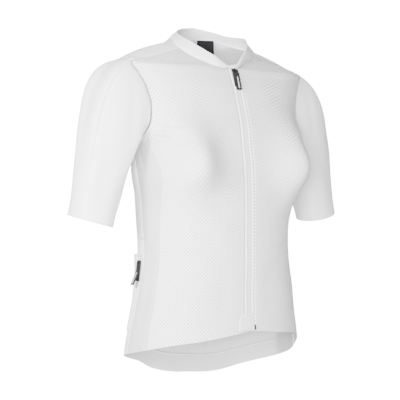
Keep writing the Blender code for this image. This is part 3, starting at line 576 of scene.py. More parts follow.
def finish(tree, shader, colour=None, height=None, distance=0.0002, strength=1.0):
    if colour is not None:
        tree.links.new(colour, shader.inputs["Base Color"])
    if height is not None:
        bump = node(tree, "Bump", {"Height": height, "Distance": distance,
                                   "Strength": strength})
        tree.links.new(bump.outputs[0], shader.inputs["Normal"])


# %% The knits
def let_light_through(tree, shader, colour, share):
    """Thin cloth: part of the light comes out on the far side."""
    glow = node(tree, "BsdfTranslucent", {"Color": colour})
    both = node(tree, "MixShader", {0: share, 1: shader.outputs[0], 2: glow.outputs[0]})
    tree.links.new(both.outputs[0], tree.nodes["Material Output"].inputs["Surface"])


def knit(name, light, shade, across, up, through, dots=None):
    """A knit of two near tones, darker in the loops' hollows as painted shade. dots: (pitch, radius low,
    radius high, tone of the holes' painted shade, depth).
    """
    made, tree, shader = plain(name, light, 0.58)
    shader.inputs["Specular IOR Level"].default_value = 0.5
    uv = node(tree, "UVMap").outputs[0]
    rise = loops(tree, uv, across, up)
    cloud = node(tree, "TexNoise", {0: uv, "Scale": 22.0, "Detail": 3.0}).outputs[0]
    slub = node(tree, "TexNoise", {0: uv, "Scale": 900.0, "Detail": 2.0}).outputs[0]
    tone = node(tree, "Math", {0: cloud, 1: slub}, operation="ADD").outputs[0]
    # Loop height also darkens the tone in the hollows between loops: painted shade, mixed with random clouds
    # and slubs.
    tone = node(tree, "Math", {0: rise, 1: 0.22, 2: tone}, operation="MULTIPLY_ADD").outputs[0]
    colour = mixed(tree, ramp(tree, tone, 0.55, 1.45), shade, light)
    height = rise
    if dots:
        pitch, low, high, painted_hole_shade, depth = dots
        # The dots are the mesh's real holes; their dark tone is painted shade of the inside seen through them.
        far = ramp(tree, lattice(tree, uv, pitch, pitch, math.radians(45)), low, high)
        colour = mixed(tree, far, painted_hole_shade, colour)
        height = node(tree, "Math", {0: far, 1: depth, 2: rise},
                      operation="MULTIPLY_ADD").outputs[0]
    finish(tree, shader, colour, height, 0.00010)
    let_light_through(tree, shader, colour, through)
    return made


WHITE_KNIT = knit("smooth_white_knit", (0.83, 0.83, 0.83), (0.77, 0.77, 0.775), 0.0008, 0.0011, 0.26)
# The dot tones of both meshes are painted shade seen through their holes.
DOTTED_MESH = knit("dotted_mesh_knit", (0.82, 0.82, 0.825), (0.75, 0.75, 0.755), 0.0010, 0.0012,
                   0.22, (0.00403, 0.22, 0.36, (0.34, 0.34, 0.345), 3.0))
SIDE_MESH = knit("side_mesh_knit", (0.66, 0.66, 0.665), (0.58, 0.58, 0.585), 0.0009, 0.0010,
                 0.22, (0.0021, 0.22, 0.38, (0.40, 0.40, 0.405), 2.0))
print("knits:", WHITE_KNIT.name, DOTTED_MESH.name, SIDE_MESH.name)


# %% [markdown]
# ## Cloth panels
# A panel is a thin closed shell. Its outer face lies on the body surface, moved by
# the folds; near a sewn edge it dips half a millimetre, as a seam draws cloth in.
# The shells of neighbouring panels meet along one line.

# %% Shell making
SHELL = 0.0009


def run_along(points, axis):
    step = np.linalg.norm(np.diff(points, axis=axis), axis=-1)
    pad = [(0, 0), (0, 0)]
    pad[axis] = (1, 0)
    return np.cumsum(np.pad(step, pad), axis=axis)


def cloth_uv(points):
    """Metres across and up the cloth, counted from the net's left and bottom edges."""
    u = np.abs(points[:, :1, 0]) + run_along(points, 1)
    v = points[:1, :, 2] + run_along(points, 0)
    return np.stack([u, v], axis=-1)


def seam_dip(points, sides, depth=0.0015):
    """How far the cloth is drawn in beside its sewn edges, by distance from them."""
    across, up = run_along(points, 1), run_along(points, 0)
    away = {"left": across, "right": across[:, -1:] - across, "bottom": up, "top": up[-1:] - up}
    dip = np.zeros(points.shape[:2])
    for side in sides:
        np.maximum(dip, np.exp(-(away[side] / 0.0017) ** 2), out=dip)
    return -depth * dip


def shell(name, nets, insides, uvs, cloth):
    """A closed shell from nets of points; nets that share points are joined there."""
    flat = np.concatenate([n.reshape(-1, 3) for n in nets])
    inner = np.concatenate([n.reshape(-1, 3) for n in insides])
    uv = np.concatenate([n.reshape(-1, 2) for n in uvs])
    _, first, same = np.unique(flat.round(7), axis=0, return_index=True, return_inverse=True)
    same = same.ravel()
    quads, start = [], 0
    for net, inside in zip(nets, insides):
        rows, columns = net.shape[:2]
        grid = np.arange(rows * columns).reshape(rows, columns) + start
        quad = np.stack([grid[:-1, :-1], grid[:-1, 1:], grid[1:, 1:], grid[1:, :-1]], -1)
        turn = np.cross(net[:-1, 1:] - net[:-1, :-1], net[1:, :-1] - net[:-1, :-1])
        if (turn * (net - inside)[:-1, :-1]).sum() < 0:
            quad = quad[..., ::-1]
        quads.append(quad.reshape(-1, 4))
        start += rows * columns
    quads = np.concatenate(quads)
    outer, count = same[quads], len(first)
    edges = {}
    for a, b, u, w in zip(outer.ravel(), np.roll(outer, -1, 1).ravel(),
                          quads.ravel(), np.roll(quads, -1, 1).ravel()):
        if (b, a) in edges:
            del edges[(b, a)]
        else:
            edges[(a, b)] = (u, w)
    rim = np.array([(a, a + count, b + count, b) for a, b in edges])
    rim_uv = np.array([(u, u, w, w) for u, w in edges.values()])
    faces = np.concatenate([outer, outer[:, ::-1] + count, rim])
    corners = np.concatenate([quads, quads[:, ::-1], rim_uv])
    mesh = bpy.data.meshes.new(name)
    mesh.from_pydata(np.concatenate([flat[first], inner[first]]), [], faces.tolist())
    layer = mesh.uv_layers.new(name="UVMap")
    layer.uv.foreach_set("vector", uv[corners.ravel()].astype(np.float32).ravel())
    mesh.shade_smooth()
    mesh.set_sharp_from_angle(angle=math.radians(50))
    mesh.materials.append(cloth)
    piece = bpy.data.objects.new(name, mesh)
    bpy.context.collection.objects.link(piece)
    return piece


def on_body(net, sides=(), out=0.0):
    """Points of the folded cloth, its normals, and its flat size, for a panel's net."""
    points, normals = body_point(net[..., 0], net[..., 1]), body_normal(net[..., 0], net[..., 1])
    move = fold_offset(points, BODY_PATHS, FOLDS["width"], FOLDS["depth"]) + ripple(points)
    move = move + seam_dip(points, sides) + out
    return points + normals * move[..., None], normals, cloth_uv(points)


# %% Fronts and side panels
def ditch(net, rows):
    """Narrow furrows up a front beside the zip: (distance across, half width, depth)."""
    x = body_point(net[..., 0], net[..., 1])[..., 0]
    return sum(-deep * np.exp(-((x - middle) / half) ** 2) for middle, half, deep in rows)


def add_panel(name, net, sides, cloth, furrows=()):
    points, normals, uv = on_body(net, sides, ditch(net, furrows) if furrows else 0.0)
    piece = shell(name + "_cloth", [points], [points - normals * SHELL], [uv], cloth)
    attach(piece, "jersey")
    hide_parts(name)
    area = np.linalg.norm(np.cross(np.diff(points, axis=0)[:, :-1],
                                   np.diff(points, axis=1)[:-1]), axis=-1).sum()
    print(name, "flat about", (np.ptp(uv[..., 0]) * 1000).round(), "x",
          (np.ptp(uv[..., 1]) * 1000).round(), "mm, area", area.round(4), "m2")
    return piece


SEWN = ("left", "right", "top")
front_right = add_panel("front_right", front_net(-1), SEWN, DOTTED_MESH,
                        ((-0.0108, 0.0010, 0.0006),))
front_left = add_panel("front_left", front_net(1), SEWN, DOTTED_MESH,
                       ((0.0102, 0.0012, 0.0018),))
side_right = add_panel("side_right", side_net(-1), SEWN, SIDE_MESH)
side_left = add_panel("side_left", side_net(1), SEWN, SIDE_MESH)


# %% The back, in one piece over both shoulders
def make_back():
    nets, insides, uvs = [], [], []
    for side in (1, -1):
        net = back_half_net(side)
        points, normals, uv = on_body(net, ("right", "top"))
        nape = int(np.argmax(net[:, 0, 1] >= line_height(NECKLINE, 180.0) - 1e-6))
        points[: nape + 1, 0, 0], normals[: nape + 1, 0, 0] = 0.0, 0.0
        nets.append(points)
        insides.append(points - normals * SHELL)
        uvs.append(uv * np.array([side, 1]))
    piece = shell("back_cloth", nets, insides, uvs, WHITE_KNIT)
    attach(piece, "jersey")
    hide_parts("back")
    return piece


back = make_back()
print("back:", len(back.data.vertices), "points, box", [round(v, 3) for v in back.dimensions])


# %% [markdown]
# ## Sleeves
# A set-in sleeve leaves the armhole along the shoulder and falls to a round cuff. Each
# of its lengthwise threads is one curve from the seam to the cuff. Soft folds hang
# from the shoulder's front, and short ones gather under the arm.

# %% Sleeve sizes and folds
CUFF_CENTRE = (0.2470, 0.0, -0.3010)
CUFF_HALF_WIDTH = CUFF_HALF_DEPTH = 0.0375
REACH_TOP, REACH_UNDER, REACH_FRONT, REACH_BACK = 0.262, 0.060, 0.12, -0.36
SLEEVE_SWELL_FRONT, SLEEVE_SWELL_BACK = 0.30, -0.08
SLEEVE_TILT, CUFF_DROP = math.radians(15.2), math.radians(6)
ROWS_SLEEVE = 11

# turn in degrees from the shoulder (forwards +), share of the length from the seam
SLEEVE_FOLDS = table(
    "turn_a share_a turn_b share_b bend width depth",
    (60, 0.10, 96, 0.46, 0.010, 0.0090, -0.0014), (84, 0.06, 118, 0.34, -0.010, 0.0080, 0.0012),
    (110, 0.05, 150, 0.28, 0.010, 0.0070, -0.0014), (136, 0.07, 172, 0.36, -0.010, 0.0070, 0.0011),
    (160, 0.05, 186, 0.30, 0.008, 0.0065, -0.0013), (200, 0.06, 214, 0.34, -0.008, 0.0070, 0.0011),
    (232, 0.05, 222, 0.40, 0.010, 0.0080, -0.0014), (262, 0.08, 244, 0.50, -0.010, 0.0090, 0.0012),
    (34, 0.40, 58, 0.92, 0.012, 0.0110, -0.0012), (96, 0.55, 76, 0.95, -0.010, 0.0100, -0.0011),
    (150, 0.48, 130, 0.86, 0.008, 0.0090, 0.0010), (-30, 0.40, -48, 0.90, -0.010, 0.0110, -0.0012),
    (-84, 0.50, -70, 0.92, 0.010, 0.0100, 0.0010),
)


# %% Sleeve net
def armhole_loop(side, fineness=6):
    parts = [(ARM_FRONT, ROWS_ARMHOLE), (ARMPIT, COLUMNS_SIDE), (ARM_BACK, ROWS_ARMHOLE),
             (OVER, ROWS_OVER)]
    rows = sum(count for _, count in parts)
    line = joined_edge(parts, np.arange(rows * fineness + 1) / fineness)
    return body_point(*np.moveaxis(signed(line, side), -1, 0))


def sleeve_net(side, shares, fineness=6):
    """Points at shares of the length of each lengthwise thread, and the threads' turns."""
    start = armhole_loop(side, fineness)
    run = np.concatenate([[0], np.cumsum(np.linalg.norm(np.diff(start, axis=0), axis=1))])
    turn = (run / run[-1] - (run / run[-1])[-1 - ROWS_OVER * fineness]) * 2 * math.pi
    top = (1 + np.cos(turn)) / 2
    first = np.stack([
        side * (0.74 + 0.21 * top),
        -np.sin(turn) * np.where(np.sin(turn) > 0, SLEEVE_SWELL_FRONT, SLEEVE_SWELL_BACK),
        -0.66 + 0.36 * top,
    ], axis=1)
    first /= np.linalg.norm(first, axis=-1, keepdims=True)
    reach = REACH_UNDER + (REACH_TOP - REACH_UNDER) * top**1.3
    reach = reach * (1 + REACH_FRONT * np.clip(np.sin(turn), 0, 1)
                     + REACH_BACK * np.clip(-np.sin(turn), 0, 1))
    axis = np.array([side * math.sin(SLEEVE_TILT), 0.0, -math.cos(SLEEVE_TILT)])
    out = np.array([side * math.cos(SLEEVE_TILT), 0.0, math.sin(SLEEVE_TILT)])
    ring = np.array(CUFF_CENTRE) * np.array([side, 1, 1]) + (
        CUFF_HALF_WIDTH * np.cos(turn)[:, None] * out
        + CUFF_HALF_DEPTH * np.sin(turn)[:, None]
        * np.array([0.0, -math.cos(CUFF_DROP), -math.sin(CUFF_DROP)]))
    length = np.linalg.norm(ring - start, axis=1)
    t = np.asarray(shares)
    h00, h10 = 2 * t**3 - 3 * t**2 + 1, t**3 - 2 * t**2 + t
    h01, h11 = 3 * t**2 - 2 * t**3, t**3 - t**2
    return (h00[:, None, None] * start + h10[:, None, None] * (first * reach[:, None])
            + h01[:, None, None] * ring + h11[:, None, None] * (axis * length[:, None])), turn


def net_normals(points, ring=False):
    """Normals of a net; a ring's last column is its first again."""
    if ring:
        round_ = points[:, :-1]
        wide = np.roll(round_, -1, axis=1) - np.roll(round_, 1, axis=1)
        wide = np.concatenate([wide, wide[:, :1]], axis=1)
    else:
        wide = np.gradient(points, axis=1)
    normal = np.cross(wide, np.gradient(points, axis=0))
    normal /= np.linalg.norm(normal, axis=-1, keepdims=True)
    outward = points - points.mean(axis=(0, 1))
    return normal * np.sign((outward * normal).sum())


def sleeve_paths(side):
    paths = []
    shares = np.linspace(0, 1, 61)
    net, turn = sleeve_net(side, shares)
    turns = np.degrees(turn)
    for k in range(len(SLEEVE_FOLDS["depth"])):
        row = {name: SLEEVE_FOLDS[name][k] for name in SLEEVE_FOLDS}
        t = np.linspace(0, 1, 40)
        at = row["turn_a"] + (row["turn_b"] - row["turn_a"]) * t
        at = (at - turns[0] + row["bend"] / 0.04 * 57.3 * np.sin(np.pi * t)) % 360 + turns[0]
        share = row["share_a"] + (row["share_b"] - row["share_a"]) * t
        column = np.interp(at, turns, np.arange(len(turns))).round().astype(int)
        paths.append(net[(share * 60).round().astype(int), column])
    return paths


sleeve_rows = []


def make_sleeve(side, name):
    shares = places(ROWS_SLEEVE, (0.04, 0.1)) / ROWS_SLEEVE
    points, _ = sleeve_net(side, shares)
    uv = np.stack([run_along(points, 1)[:1].repeat(len(points), 0), run_along(points, 0)], -1)
    normals = net_normals(points, ring=True)
    uneven = 1.0 if side < 0 else 0.85
    move = uneven * fold_offset(points, sleeve_paths(side), SLEEVE_FOLDS["width"],
                                SLEEVE_FOLDS["depth"])
    fade = np.clip((shares - 0.015) / 0.05, 0, 1)[:, None]
    move = (move + ripple(points)) * fade + seam_dip(points, ("bottom",))
    points = points + normals * move[..., None]
    points[:, -1], normals[:, -1] = points[:, 0], normals[:, 0]
    for share in (0.011, 0.024):
        k = int(np.searchsorted(shares, share))
        t = (share - shares[k - 1]) / (shares[k] - shares[k - 1])
        row = points[k - 1] + (points[k] - points[k - 1]) * t + normals[k] * 0.0001
        sleeve_rows.append(row)
    piece = shell(name + "_cloth", [points], [points - normals * SHELL], [uv], WHITE_KNIT)
    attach(piece, "jersey")
    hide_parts(name)
    return piece


sleeve_right, sleeve_left = make_sleeve(-1, "sleeve_right"), make_sleeve(1, "sleeve_left")
print("sleeve length down the outside, m:", round(float(run_along(
    sleeve_net(1, np.linspace(0, 1, 30))[0], 0)[-1].max()), 3))


# %% [markdown]
# ## Collar
# A low stand collar is a curved band sewn to the neckline. It rises from the zip's end
# to the nape, and its free edge is folded, so it is a little thicker there.

# %% Collar
COLLAR_ROWS = 20


def collar_top(angle):
    turn = np.radians(angle)
    s, c = np.sin(turn), np.cos(turn)
    depth = np.where(c > 0, COLLAR_FRONT, COLLAR_BACK)
    radius = ((s / COLLAR_HALF_WIDTH) ** 2 + (c / depth) ** 2) ** -0.5
    return np.stack([radius * s, -radius * c, line_height(COLLAR_TOP, angle)], axis=-1)


def neck_loop(fineness=6):
    """The neckline from the right front edge round by the nape to the left front edge."""
    halves = []
    for side in (-1, 1):
        start = centre_line((TAPE_LEFT if side > 0 else TAPE_RIGHT) + EDGE_STRIP)[-1]
        front = ruled_line(NECKLINE, start[0], YOKE_INNER_ANGLE, side, first=start)
        rear = ruled_line(NECKLINE, YOKE_INNER_ANGLE, 180.0, side)
        rows = np.arange((2 * ROWS_NECK + ROWS_OVER) * fineness + 1) / fineness
        halves.append(signed(joined_edge([(front, ROWS_NECK), (rear, ROWS_NECK + ROWS_OVER)],
                                         rows), side))
    return np.concatenate([halves[0], halves[1][::-1][1:]])


def collar_points(shares, fineness=6):
    low = body_point(*np.moveaxis(neck_loop(fineness), -1, 0))
    high = collar_top(np.degrees(np.arctan2(low[:, 0], -low[:, 1])))
    t = np.asarray(shares)[:, None, None]
    net = low * (1 - t) + high * t
    flat = net * np.array([1, 1, 0])
    return net + flat / np.linalg.norm(flat, axis=-1, keepdims=True) * 0.0012 * np.sin(np.pi * t)


def make_collar():
    shares = np.concatenate([[0, 0.015, 0.04], np.linspace(0.07, 0.93, COLLAR_ROWS), [0.97, 1]])
    points = collar_points(shares)
    normals = net_normals(points)
    move = ripple(points) * 1.3 + seam_dip(points, ("bottom",), 0.0013)
    move += 0.0003 * np.exp(-((shares - 0.93) / 0.05) ** 2)[:, None]
    points = points + normals * move[..., None]
    uv = np.stack([run_along(points, 1), run_along(points, 0)], -1)
    piece = shell("collar_cloth", [points], [points - normals * 0.0012], [uv], WHITE_KNIT)
    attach(piece, "jersey")
    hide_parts("collar")
    return piece


collar = make_collar()
print("collar:", len(collar.data.polygons), "faces")


# %% [markdown]
# ## Front zip
# The zip's woven tape shows between two narrow bonded strips; the coil is on the
# inside, so from the front only the closed line between its two tapes is seen. The
# coil itself is one thread wound along that line.

# %% Zip cloths and plastics
def woven(name, light, shade, pitch, roughness=0.8, sheen=0.3):
    """A close twill: fine slanting ribs, with painted shade between them."""
    made, tree, shader = plain(name, light, roughness)
    shader.inputs["Specular IOR Level"].default_value = sheen
    uv = node(tree, "UVMap").outputs[0]
    split = node(tree, "SeparateXYZ", {0: uv})
    slant = node(tree, "Math", {0: split.outputs[0], 1: split.outputs[1]}, operation="ADD")
    rib = node(tree, "Math", {0: slant.outputs[0], 1: 2 * math.pi / pitch}, operation="MULTIPLY")
    rib = node(tree, "Math", {0: rib.outputs[0]}, operation="SINE").outputs[0]
    slub = node(tree, "TexNoise", {0: uv, "Scale": 700.0, "Detail": 2.0}).outputs[0]
    # The ribs' height also sets the tone, darker between ribs: painted shade, with random slubs.
    tone = node(tree, "Math", {0: rib, 1: 0.3, 2: slub}, operation="MULTIPLY_ADD").outputs[0]
    finish(tree, shader, mixed(tree, ramp(tree, tone, 0.1, 0.9), shade, light), rib, 0.00008)
    return made


def moulded(name, light, shade, roughness, grain, metal=0.0, depth=0.00004, sheen=0.5):
    """Moulded or cast: slight clouds of tone and roughness, and a fine grain."""
    made, tree, shader = plain(name, light, roughness, Metallic=metal)
    shader.inputs["Specular IOR Level"].default_value = sheen
    place = node(tree, "TexCoord").outputs["Object"]
    cloud = node(tree, "TexNoise", {0: place, "Scale": 90.0, "Detail": 3.0}).outputs[0]
    fine = node(tree, "TexNoise", {0: place, "Scale": grain, "Detail": 3.0}).outputs[0]
    finish(tree, shader, mixed(tree, ramp(tree, cloud, 0.3, 0.7), shade, light), fine, depth)
    rough = ramp(tree, cloud, 0.3, 0.7, roughness - 0.07, roughness + 0.07)
    tree.links.new(rough, shader.inputs["Roughness"])
    return made


ZIP_TAPE = woven("grey_zip_tape", (0.60, 0.60, 0.61), (0.47, 0.47, 0.48), 0.0007)
BONDED = woven("bonded_white_strip", (0.76, 0.76, 0.765), (0.70, 0.70, 0.705), 0.0005, 0.55, 0.4)
GUARD_KNIT = woven("smooth_guard_knit", (0.66, 0.66, 0.665), (0.59, 0.59, 0.60), 0.0006, 0.7)
LABEL_BLACK = woven("woven_black_label", (0.020, 0.020, 0.021), (0.009, 0.009, 0.010), 0.0006, 0.9, 0.08)
RUBBER = moulded("black_moulded_rubber", (0.012, 0.012, 0.013), (0.008, 0.008, 0.009), 0.55, 2600,
                 sheen=0.18)
CAST = moulded("black_lacquered_metal", (0.020, 0.020, 0.022), (0.012, 0.012, 0.014), 0.34, 1800,
               metal=0.55, depth=0.00002)
MARKING = moulded("pale_moulded_strip", (0.40, 0.40, 0.41), (0.32, 0.32, 0.33), 0.6, 2200)
NYLON = moulded("grey_nylon_coil", (0.62, 0.62, 0.63), (0.52, 0.52, 0.53), 0.38, 3000)
# Seam thread coloured grey: painted shade of stitches sunk into the seams, though the thread itself is white.
SHADED_THREAD = moulded("white_thread_painted_shade", (0.38, 0.38, 0.385), (0.30, 0.30, 0.305), 0.62, 5200)
BLACK_THREAD = moulded("black_thread", (0.030, 0.030, 0.031), (0.015, 0.015, 0.016), 0.60, 5200)
BEAD = moulded("white_elastic_bead", (0.93, 0.93, 0.93), (0.88, 0.88, 0.88), 0.42, 1500)
print("materials:", len(bpy.data.materials))


# %% Strips up centre front
ROWS_CENTRE = ROWS_SEAM + ROWS_ARMHOLE - ROWS_NECK
ZIP_ROWS = np.linspace(0, 1, ROWS_CENTRE * 6 + 1)


def centre_strip(offsets, shares=ZIP_ROWS):
    """A net up centre front, with a column at each signed distance across, in metres."""
    return np.stack([signed(walk(centre_line(abs(x)), shares), 1.0 if x >= 0 else -1.0)
                     for x in offsets], axis=1)


def strip_piece(name, node_name, offsets, profile, thickness, cloth):
    """A strip whose face stands out from the body by profile(offsets)."""
    net = centre_strip(offsets)
    points, normals, uv = on_body(net, out=profile(offsets)[None, :])
    uv[..., 0] = offsets[None]
    piece = shell(name, [points], [points - normals * thickness], [uv], cloth)
    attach(piece, "jersey")
    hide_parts(node_name)
    return piece


def tape_profile(x):
    """Two low swells where the coil lies behind, and the closed line between them."""
    swell = np.exp(-((np.abs(x) - 0.0014) / 0.0010) ** 2)
    return -0.0003 + 0.0004 * swell - 0.0006 * np.exp(-(x / 0.00025) ** 2)


def strip_profile(x):
    """A bonded strip: flat, with both edges rolled down to the cloth."""
    t = 2 * (x - x.min()) / (x.max() - x.min()) - 1
    return 0.0006 - 0.0007 * np.abs(t) ** 6


across_tape = np.sort(np.concatenate([np.linspace(-TAPE_RIGHT, TAPE_LEFT, 23),
                                      [-0.0005, -0.00025, 0.0, 0.00025, 0.0005]]))
zip_tape = strip_piece("zip_tape_woven", "zip_tape", across_tape, tape_profile, 0.0008, ZIP_TAPE)
zip_edge_right = strip_piece("zip_edge_right_strip", "zip_edge_right",
                             np.linspace(-TAPE_RIGHT - EDGE_STRIP, -TAPE_RIGHT, 13),
                             strip_profile, 0.0009, BONDED)
zip_edge_left = strip_piece("zip_edge_left_strip", "zip_edge_left",
                            np.linspace(TAPE_LEFT, TAPE_LEFT + EDGE_STRIP, 13),
                            strip_profile, 0.0009, BONDED)
print("zip strips:", zip_tape.name, zip_edge_right.name, zip_edge_left.name)


# %% [markdown]
# ## Threads and the coil
# Anything wound or sewn follows a path, so it is made by a small node tree. One tree
# lays a thick short stitch at even steps along a path. The other sweeps a round thread
# along a path; the zip's coil is such a thread on a path wound round the centre line.
# Both end as plain meshes.

# %% Node trees
def socket(tree, name, kind, value):
    made = tree.interface.new_socket(name, in_out="INPUT", socket_type=kind)
    made.default_value = value
    return made


def tree_with(name, sizes):
    tree = bpy.data.node_groups.new(name, "GeometryNodeTree")
    tree.interface.new_socket("Path", in_out="INPUT", socket_type="NodeSocketGeometry")
    for label, value in sizes.items():
        socket(tree, label, "NodeSocketFloat", value)
    tree.interface.new_socket("Finish", in_out="INPUT", socket_type="NodeSocketMaterial")
    tree.interface.new_socket("Mesh", in_out="OUTPUT", socket_type="NodeSocketGeometry")
    given = tree.nodes.new("NodeGroupInput")
    result = tree.nodes.new("NodeGroupOutput")
    return tree, given, result


def step(tree, kind, inputs=None, **settings):
    """One geometry node, its sockets set from values or joined to other sockets."""
    made = tree.nodes.new(kind)
    for key, value in settings.items():
        setattr(made, key, value)
    for key, value in (inputs or {}).items():
        if isinstance(value, bpy.types.NodeSocket):
            tree.links.new(value, made.inputs[key])
        else:
            made.inputs[key].default_value = value
    return made


def finish_tree(tree, given, result, geometry):
    real = step(tree, "GeometryNodeRealizeInstances", {0: geometry})
    smooth_shade = step(tree, "GeometryNodeSetShadeSmooth", {0: real.outputs[0]})
    coated = step(tree, "GeometryNodeSetMaterial",
                  {0: smooth_shade.outputs[0], "Material": given.outputs["Finish"]})
    tree.links.new(coated.outputs[0], result.inputs[0])
    return tree


def make_stitch_tree():
    """A small closed grain of thread at each step of the path, lying along it."""
    tree, given, result = tree_with("stitches", {"Pitch": 0.003, "Length": 0.0023,
                                                 "Thickness": 0.00045})
    spots = step(tree, "GeometryNodeCurveToPoints",
                 {0: given.outputs["Path"], "Length": given.outputs["Pitch"]}, mode="LENGTH")
    grain = step(tree, "GeometryNodeMeshUVSphere", {"Segments": 6, "Rings": 4, "Radius": 0.5})
    uneven = step(tree, "FunctionNodeRandomValue", {2: 0.9, 3: 1.1, "Seed": 7})
    tall = step(tree, "ShaderNodeMath", {0: given.outputs["Length"], 1: uneven.outputs[1]},
                operation="MULTIPLY")
    size = step(tree, "ShaderNodeCombineXYZ", {0: given.outputs["Thickness"],
                                               1: given.outputs["Thickness"],
                                               2: tall.outputs[0]})
    laid = step(tree, "GeometryNodeInstanceOnPoints",
                {0: spots.outputs["Points"], "Instance": grain.outputs["Mesh"],
                 "Rotation": spots.outputs["Rotation"], "Scale": size.outputs[0]})
    return finish_tree(tree, given, result, laid.outputs[0])


def make_cord_tree():
    """A round thread along the path."""
    tree, given, result = tree_with("round_thread", {"Thickness": 0.0006, "Flatness": 1.0})
    ring = step(tree, "GeometryNodeCurvePrimitiveCircle", {"Resolution": 8, "Radius": 0.5})
    size = step(tree, "ShaderNodeCombineXYZ", {0: given.outputs["Thickness"],
                                               1: given.outputs["Thickness"], 2: 1.0})
    shaped = step(tree, "GeometryNodeTransform", {0: ring.outputs[0], "Scale": size.outputs[0]})
    tube = step(tree, "GeometryNodeCurveToMesh",
                {0: given.outputs["Path"], 1: shaped.outputs[0], "Fill Caps": True})
    return finish_tree(tree, given, result, tube.outputs[0])


STITCHES, ROUND_THREAD = make_stitch_tree(), make_cord_tree()


def along_paths(name, paths, tree, cloth, body="jersey", **sizes):
    """Runs a node tree over poly-line paths and keeps the result as a plain mesh."""
    line = bpy.data.curves.new(name + "_path", "CURVE")
    line.dimensions = "3D"
    line.twist_mode = "MINIMUM"
    for path in paths:
        spline = line.splines.new("POLY")
        spline.points.add(len(path) - 1)
        spline.points.foreach_set("co", np.c_[path, np.ones(len(path))].astype(np.float32).ravel())
    guide = bpy.data.objects.new(name + "_path", line)
    bpy.context.collection.objects.link(guide)
    change = guide.modifiers.new("tree", "NODES")
    change.node_group = tree
    named = {item.name: item.identifier for item in tree.interface.items_tree
             if item.in_out == "INPUT"}
    for label, value in sizes.items():
        change[named[label]] = value
    change[named["Finish"]] = cloth
    done = guide.evaluated_get(bpy.context.evaluated_depsgraph_get())
    mesh = bpy.data.meshes.new_from_object(done)
    mesh.name = name
    piece = bpy.data.objects.new(name, mesh)
    bpy.context.collection.objects.link(piece)
    bpy.data.objects.remove(guide)
    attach(piece, body)
    return piece


# %% The coil behind the tape
def make_coil():
    """Both tapes' coils closed together read as one flat winding across the line."""
    turns_each, wide, deep, pitch = 10, 0.0026, 0.0008, 0.0015
    shares = np.linspace(0.004, 0.985, 260)
    middle = centre_strip((0.0,), shares)[:, 0]
    points, normals = body_point(*middle.T), body_normal(*middle.T)
    run = run_along(points[:, None], 0)[:, 0]
    count = int(run[-1] / pitch)
    at = np.linspace(0, run[-1], count * turns_each + 1)
    place = np.stack([np.interp(at, run, points[:, k]) for k in range(3)], axis=1)
    out = np.stack([np.interp(at, run, normals[:, k]) for k in range(3)], axis=1)
    turn = 2 * math.pi * at / pitch
    place = place - out * (0.0021 - deep * np.sin(turn))[:, None]
    place[:, 0] += wide * np.cos(turn)
    return along_paths("zip_coil", [place], ROUND_THREAD, NYLON, Thickness=0.0006)


coil = make_coil()
print("coil:", len(coil.data.polygons), "faces")


# %% [markdown]
# ## Small cloth pieces at the zip
# A smooth patch covers the zip's foot so that it can't scratch, its upper outer
# corner rounded. At the top, a folded cap between the collar's ends parks the slider.

# %% Zip guard
GUARD_OUT, GUARD_IN, GUARD_TALL, GUARD_CORNER = -0.0240, 0.0042, 0.0290, 0.0170


def make_guard():
    x = np.linspace(GUARD_OUT, GUARD_IN, 42)
    rise = np.concatenate([[0, 0.02, 0.05], np.linspace(0.1, 0.9, 22), [0.95, 0.98, 1]])
    inside = np.clip(GUARD_OUT + GUARD_CORNER - x, 0, None)
    tall = GUARD_TALL - GUARD_CORNER + np.sqrt(
        np.clip(GUARD_CORNER**2 - inside**2, 0, None))
    low = line_height(HEM, 0.0) + 0.0012 - 0.0006 * (np.abs(x) / 0.024) ** 2
    heights = low[None] + rise[:, None] * tall[None]
    angles = np.sign(x) * edge_angle(np.abs(x)[None], heights)
    points, normals = body_point(angles, heights), body_normal(angles, heights)
    side = np.minimum(x - GUARD_OUT, GUARD_IN - x)[None]
    edge = np.minimum(side, np.minimum(rise[:, None], 1 - rise[:, None]) * tall[None])
    out = 0.0016 - 0.0009 * np.exp(-(edge / 0.0005) ** 2)
    out = out + 0.0003 * np.exp(-((np.abs(x)[None] - 0.0074) / 0.0016) ** 2)
    outer = points + normals * (out + ripple(points))[..., None]
    uv = np.stack(np.broadcast_arrays(x[None] + 0 * heights, heights), -1)
    piece = shell("zip_guard_patch", [outer], [outer - normals * 0.0008], [uv], GUARD_KNIT)
    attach(piece, "jersey")
    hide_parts("zip_guard")
    return piece


print("guard:", len(make_guard().data.polygons), "faces")


# %% [markdown]
# ## Softened solids
# A hard piece of the frame keeps its exact place and size, but no real edge is
# knife-sharp. Its copy is merged where faces meet, its edges are rounded, and it
# gets its own material; the plain solid is then hidden.

# %% Rounding a solid's copy
def plane_uv(mesh, across, up):
    """UV in metres, laid flat along two directions."""
    mesh.uv_layers.new(name="UVMap") if not mesh.uv_layers else None
    points = np.empty(len(mesh.vertices) * 3)
    mesh.vertices.foreach_get("co", points)
    points = points.reshape(-1, 3)
    flat = np.stack([points @ np.array(across, float), points @ np.array(up, float)], -1)
    corner = np.empty(len(mesh.loops), int)
    mesh.loops.foreach_get("vertex_index", corner)
    mesh.uv_layers[0].uv.foreach_set("vector", flat[corner].astype(np.float32).ravel())


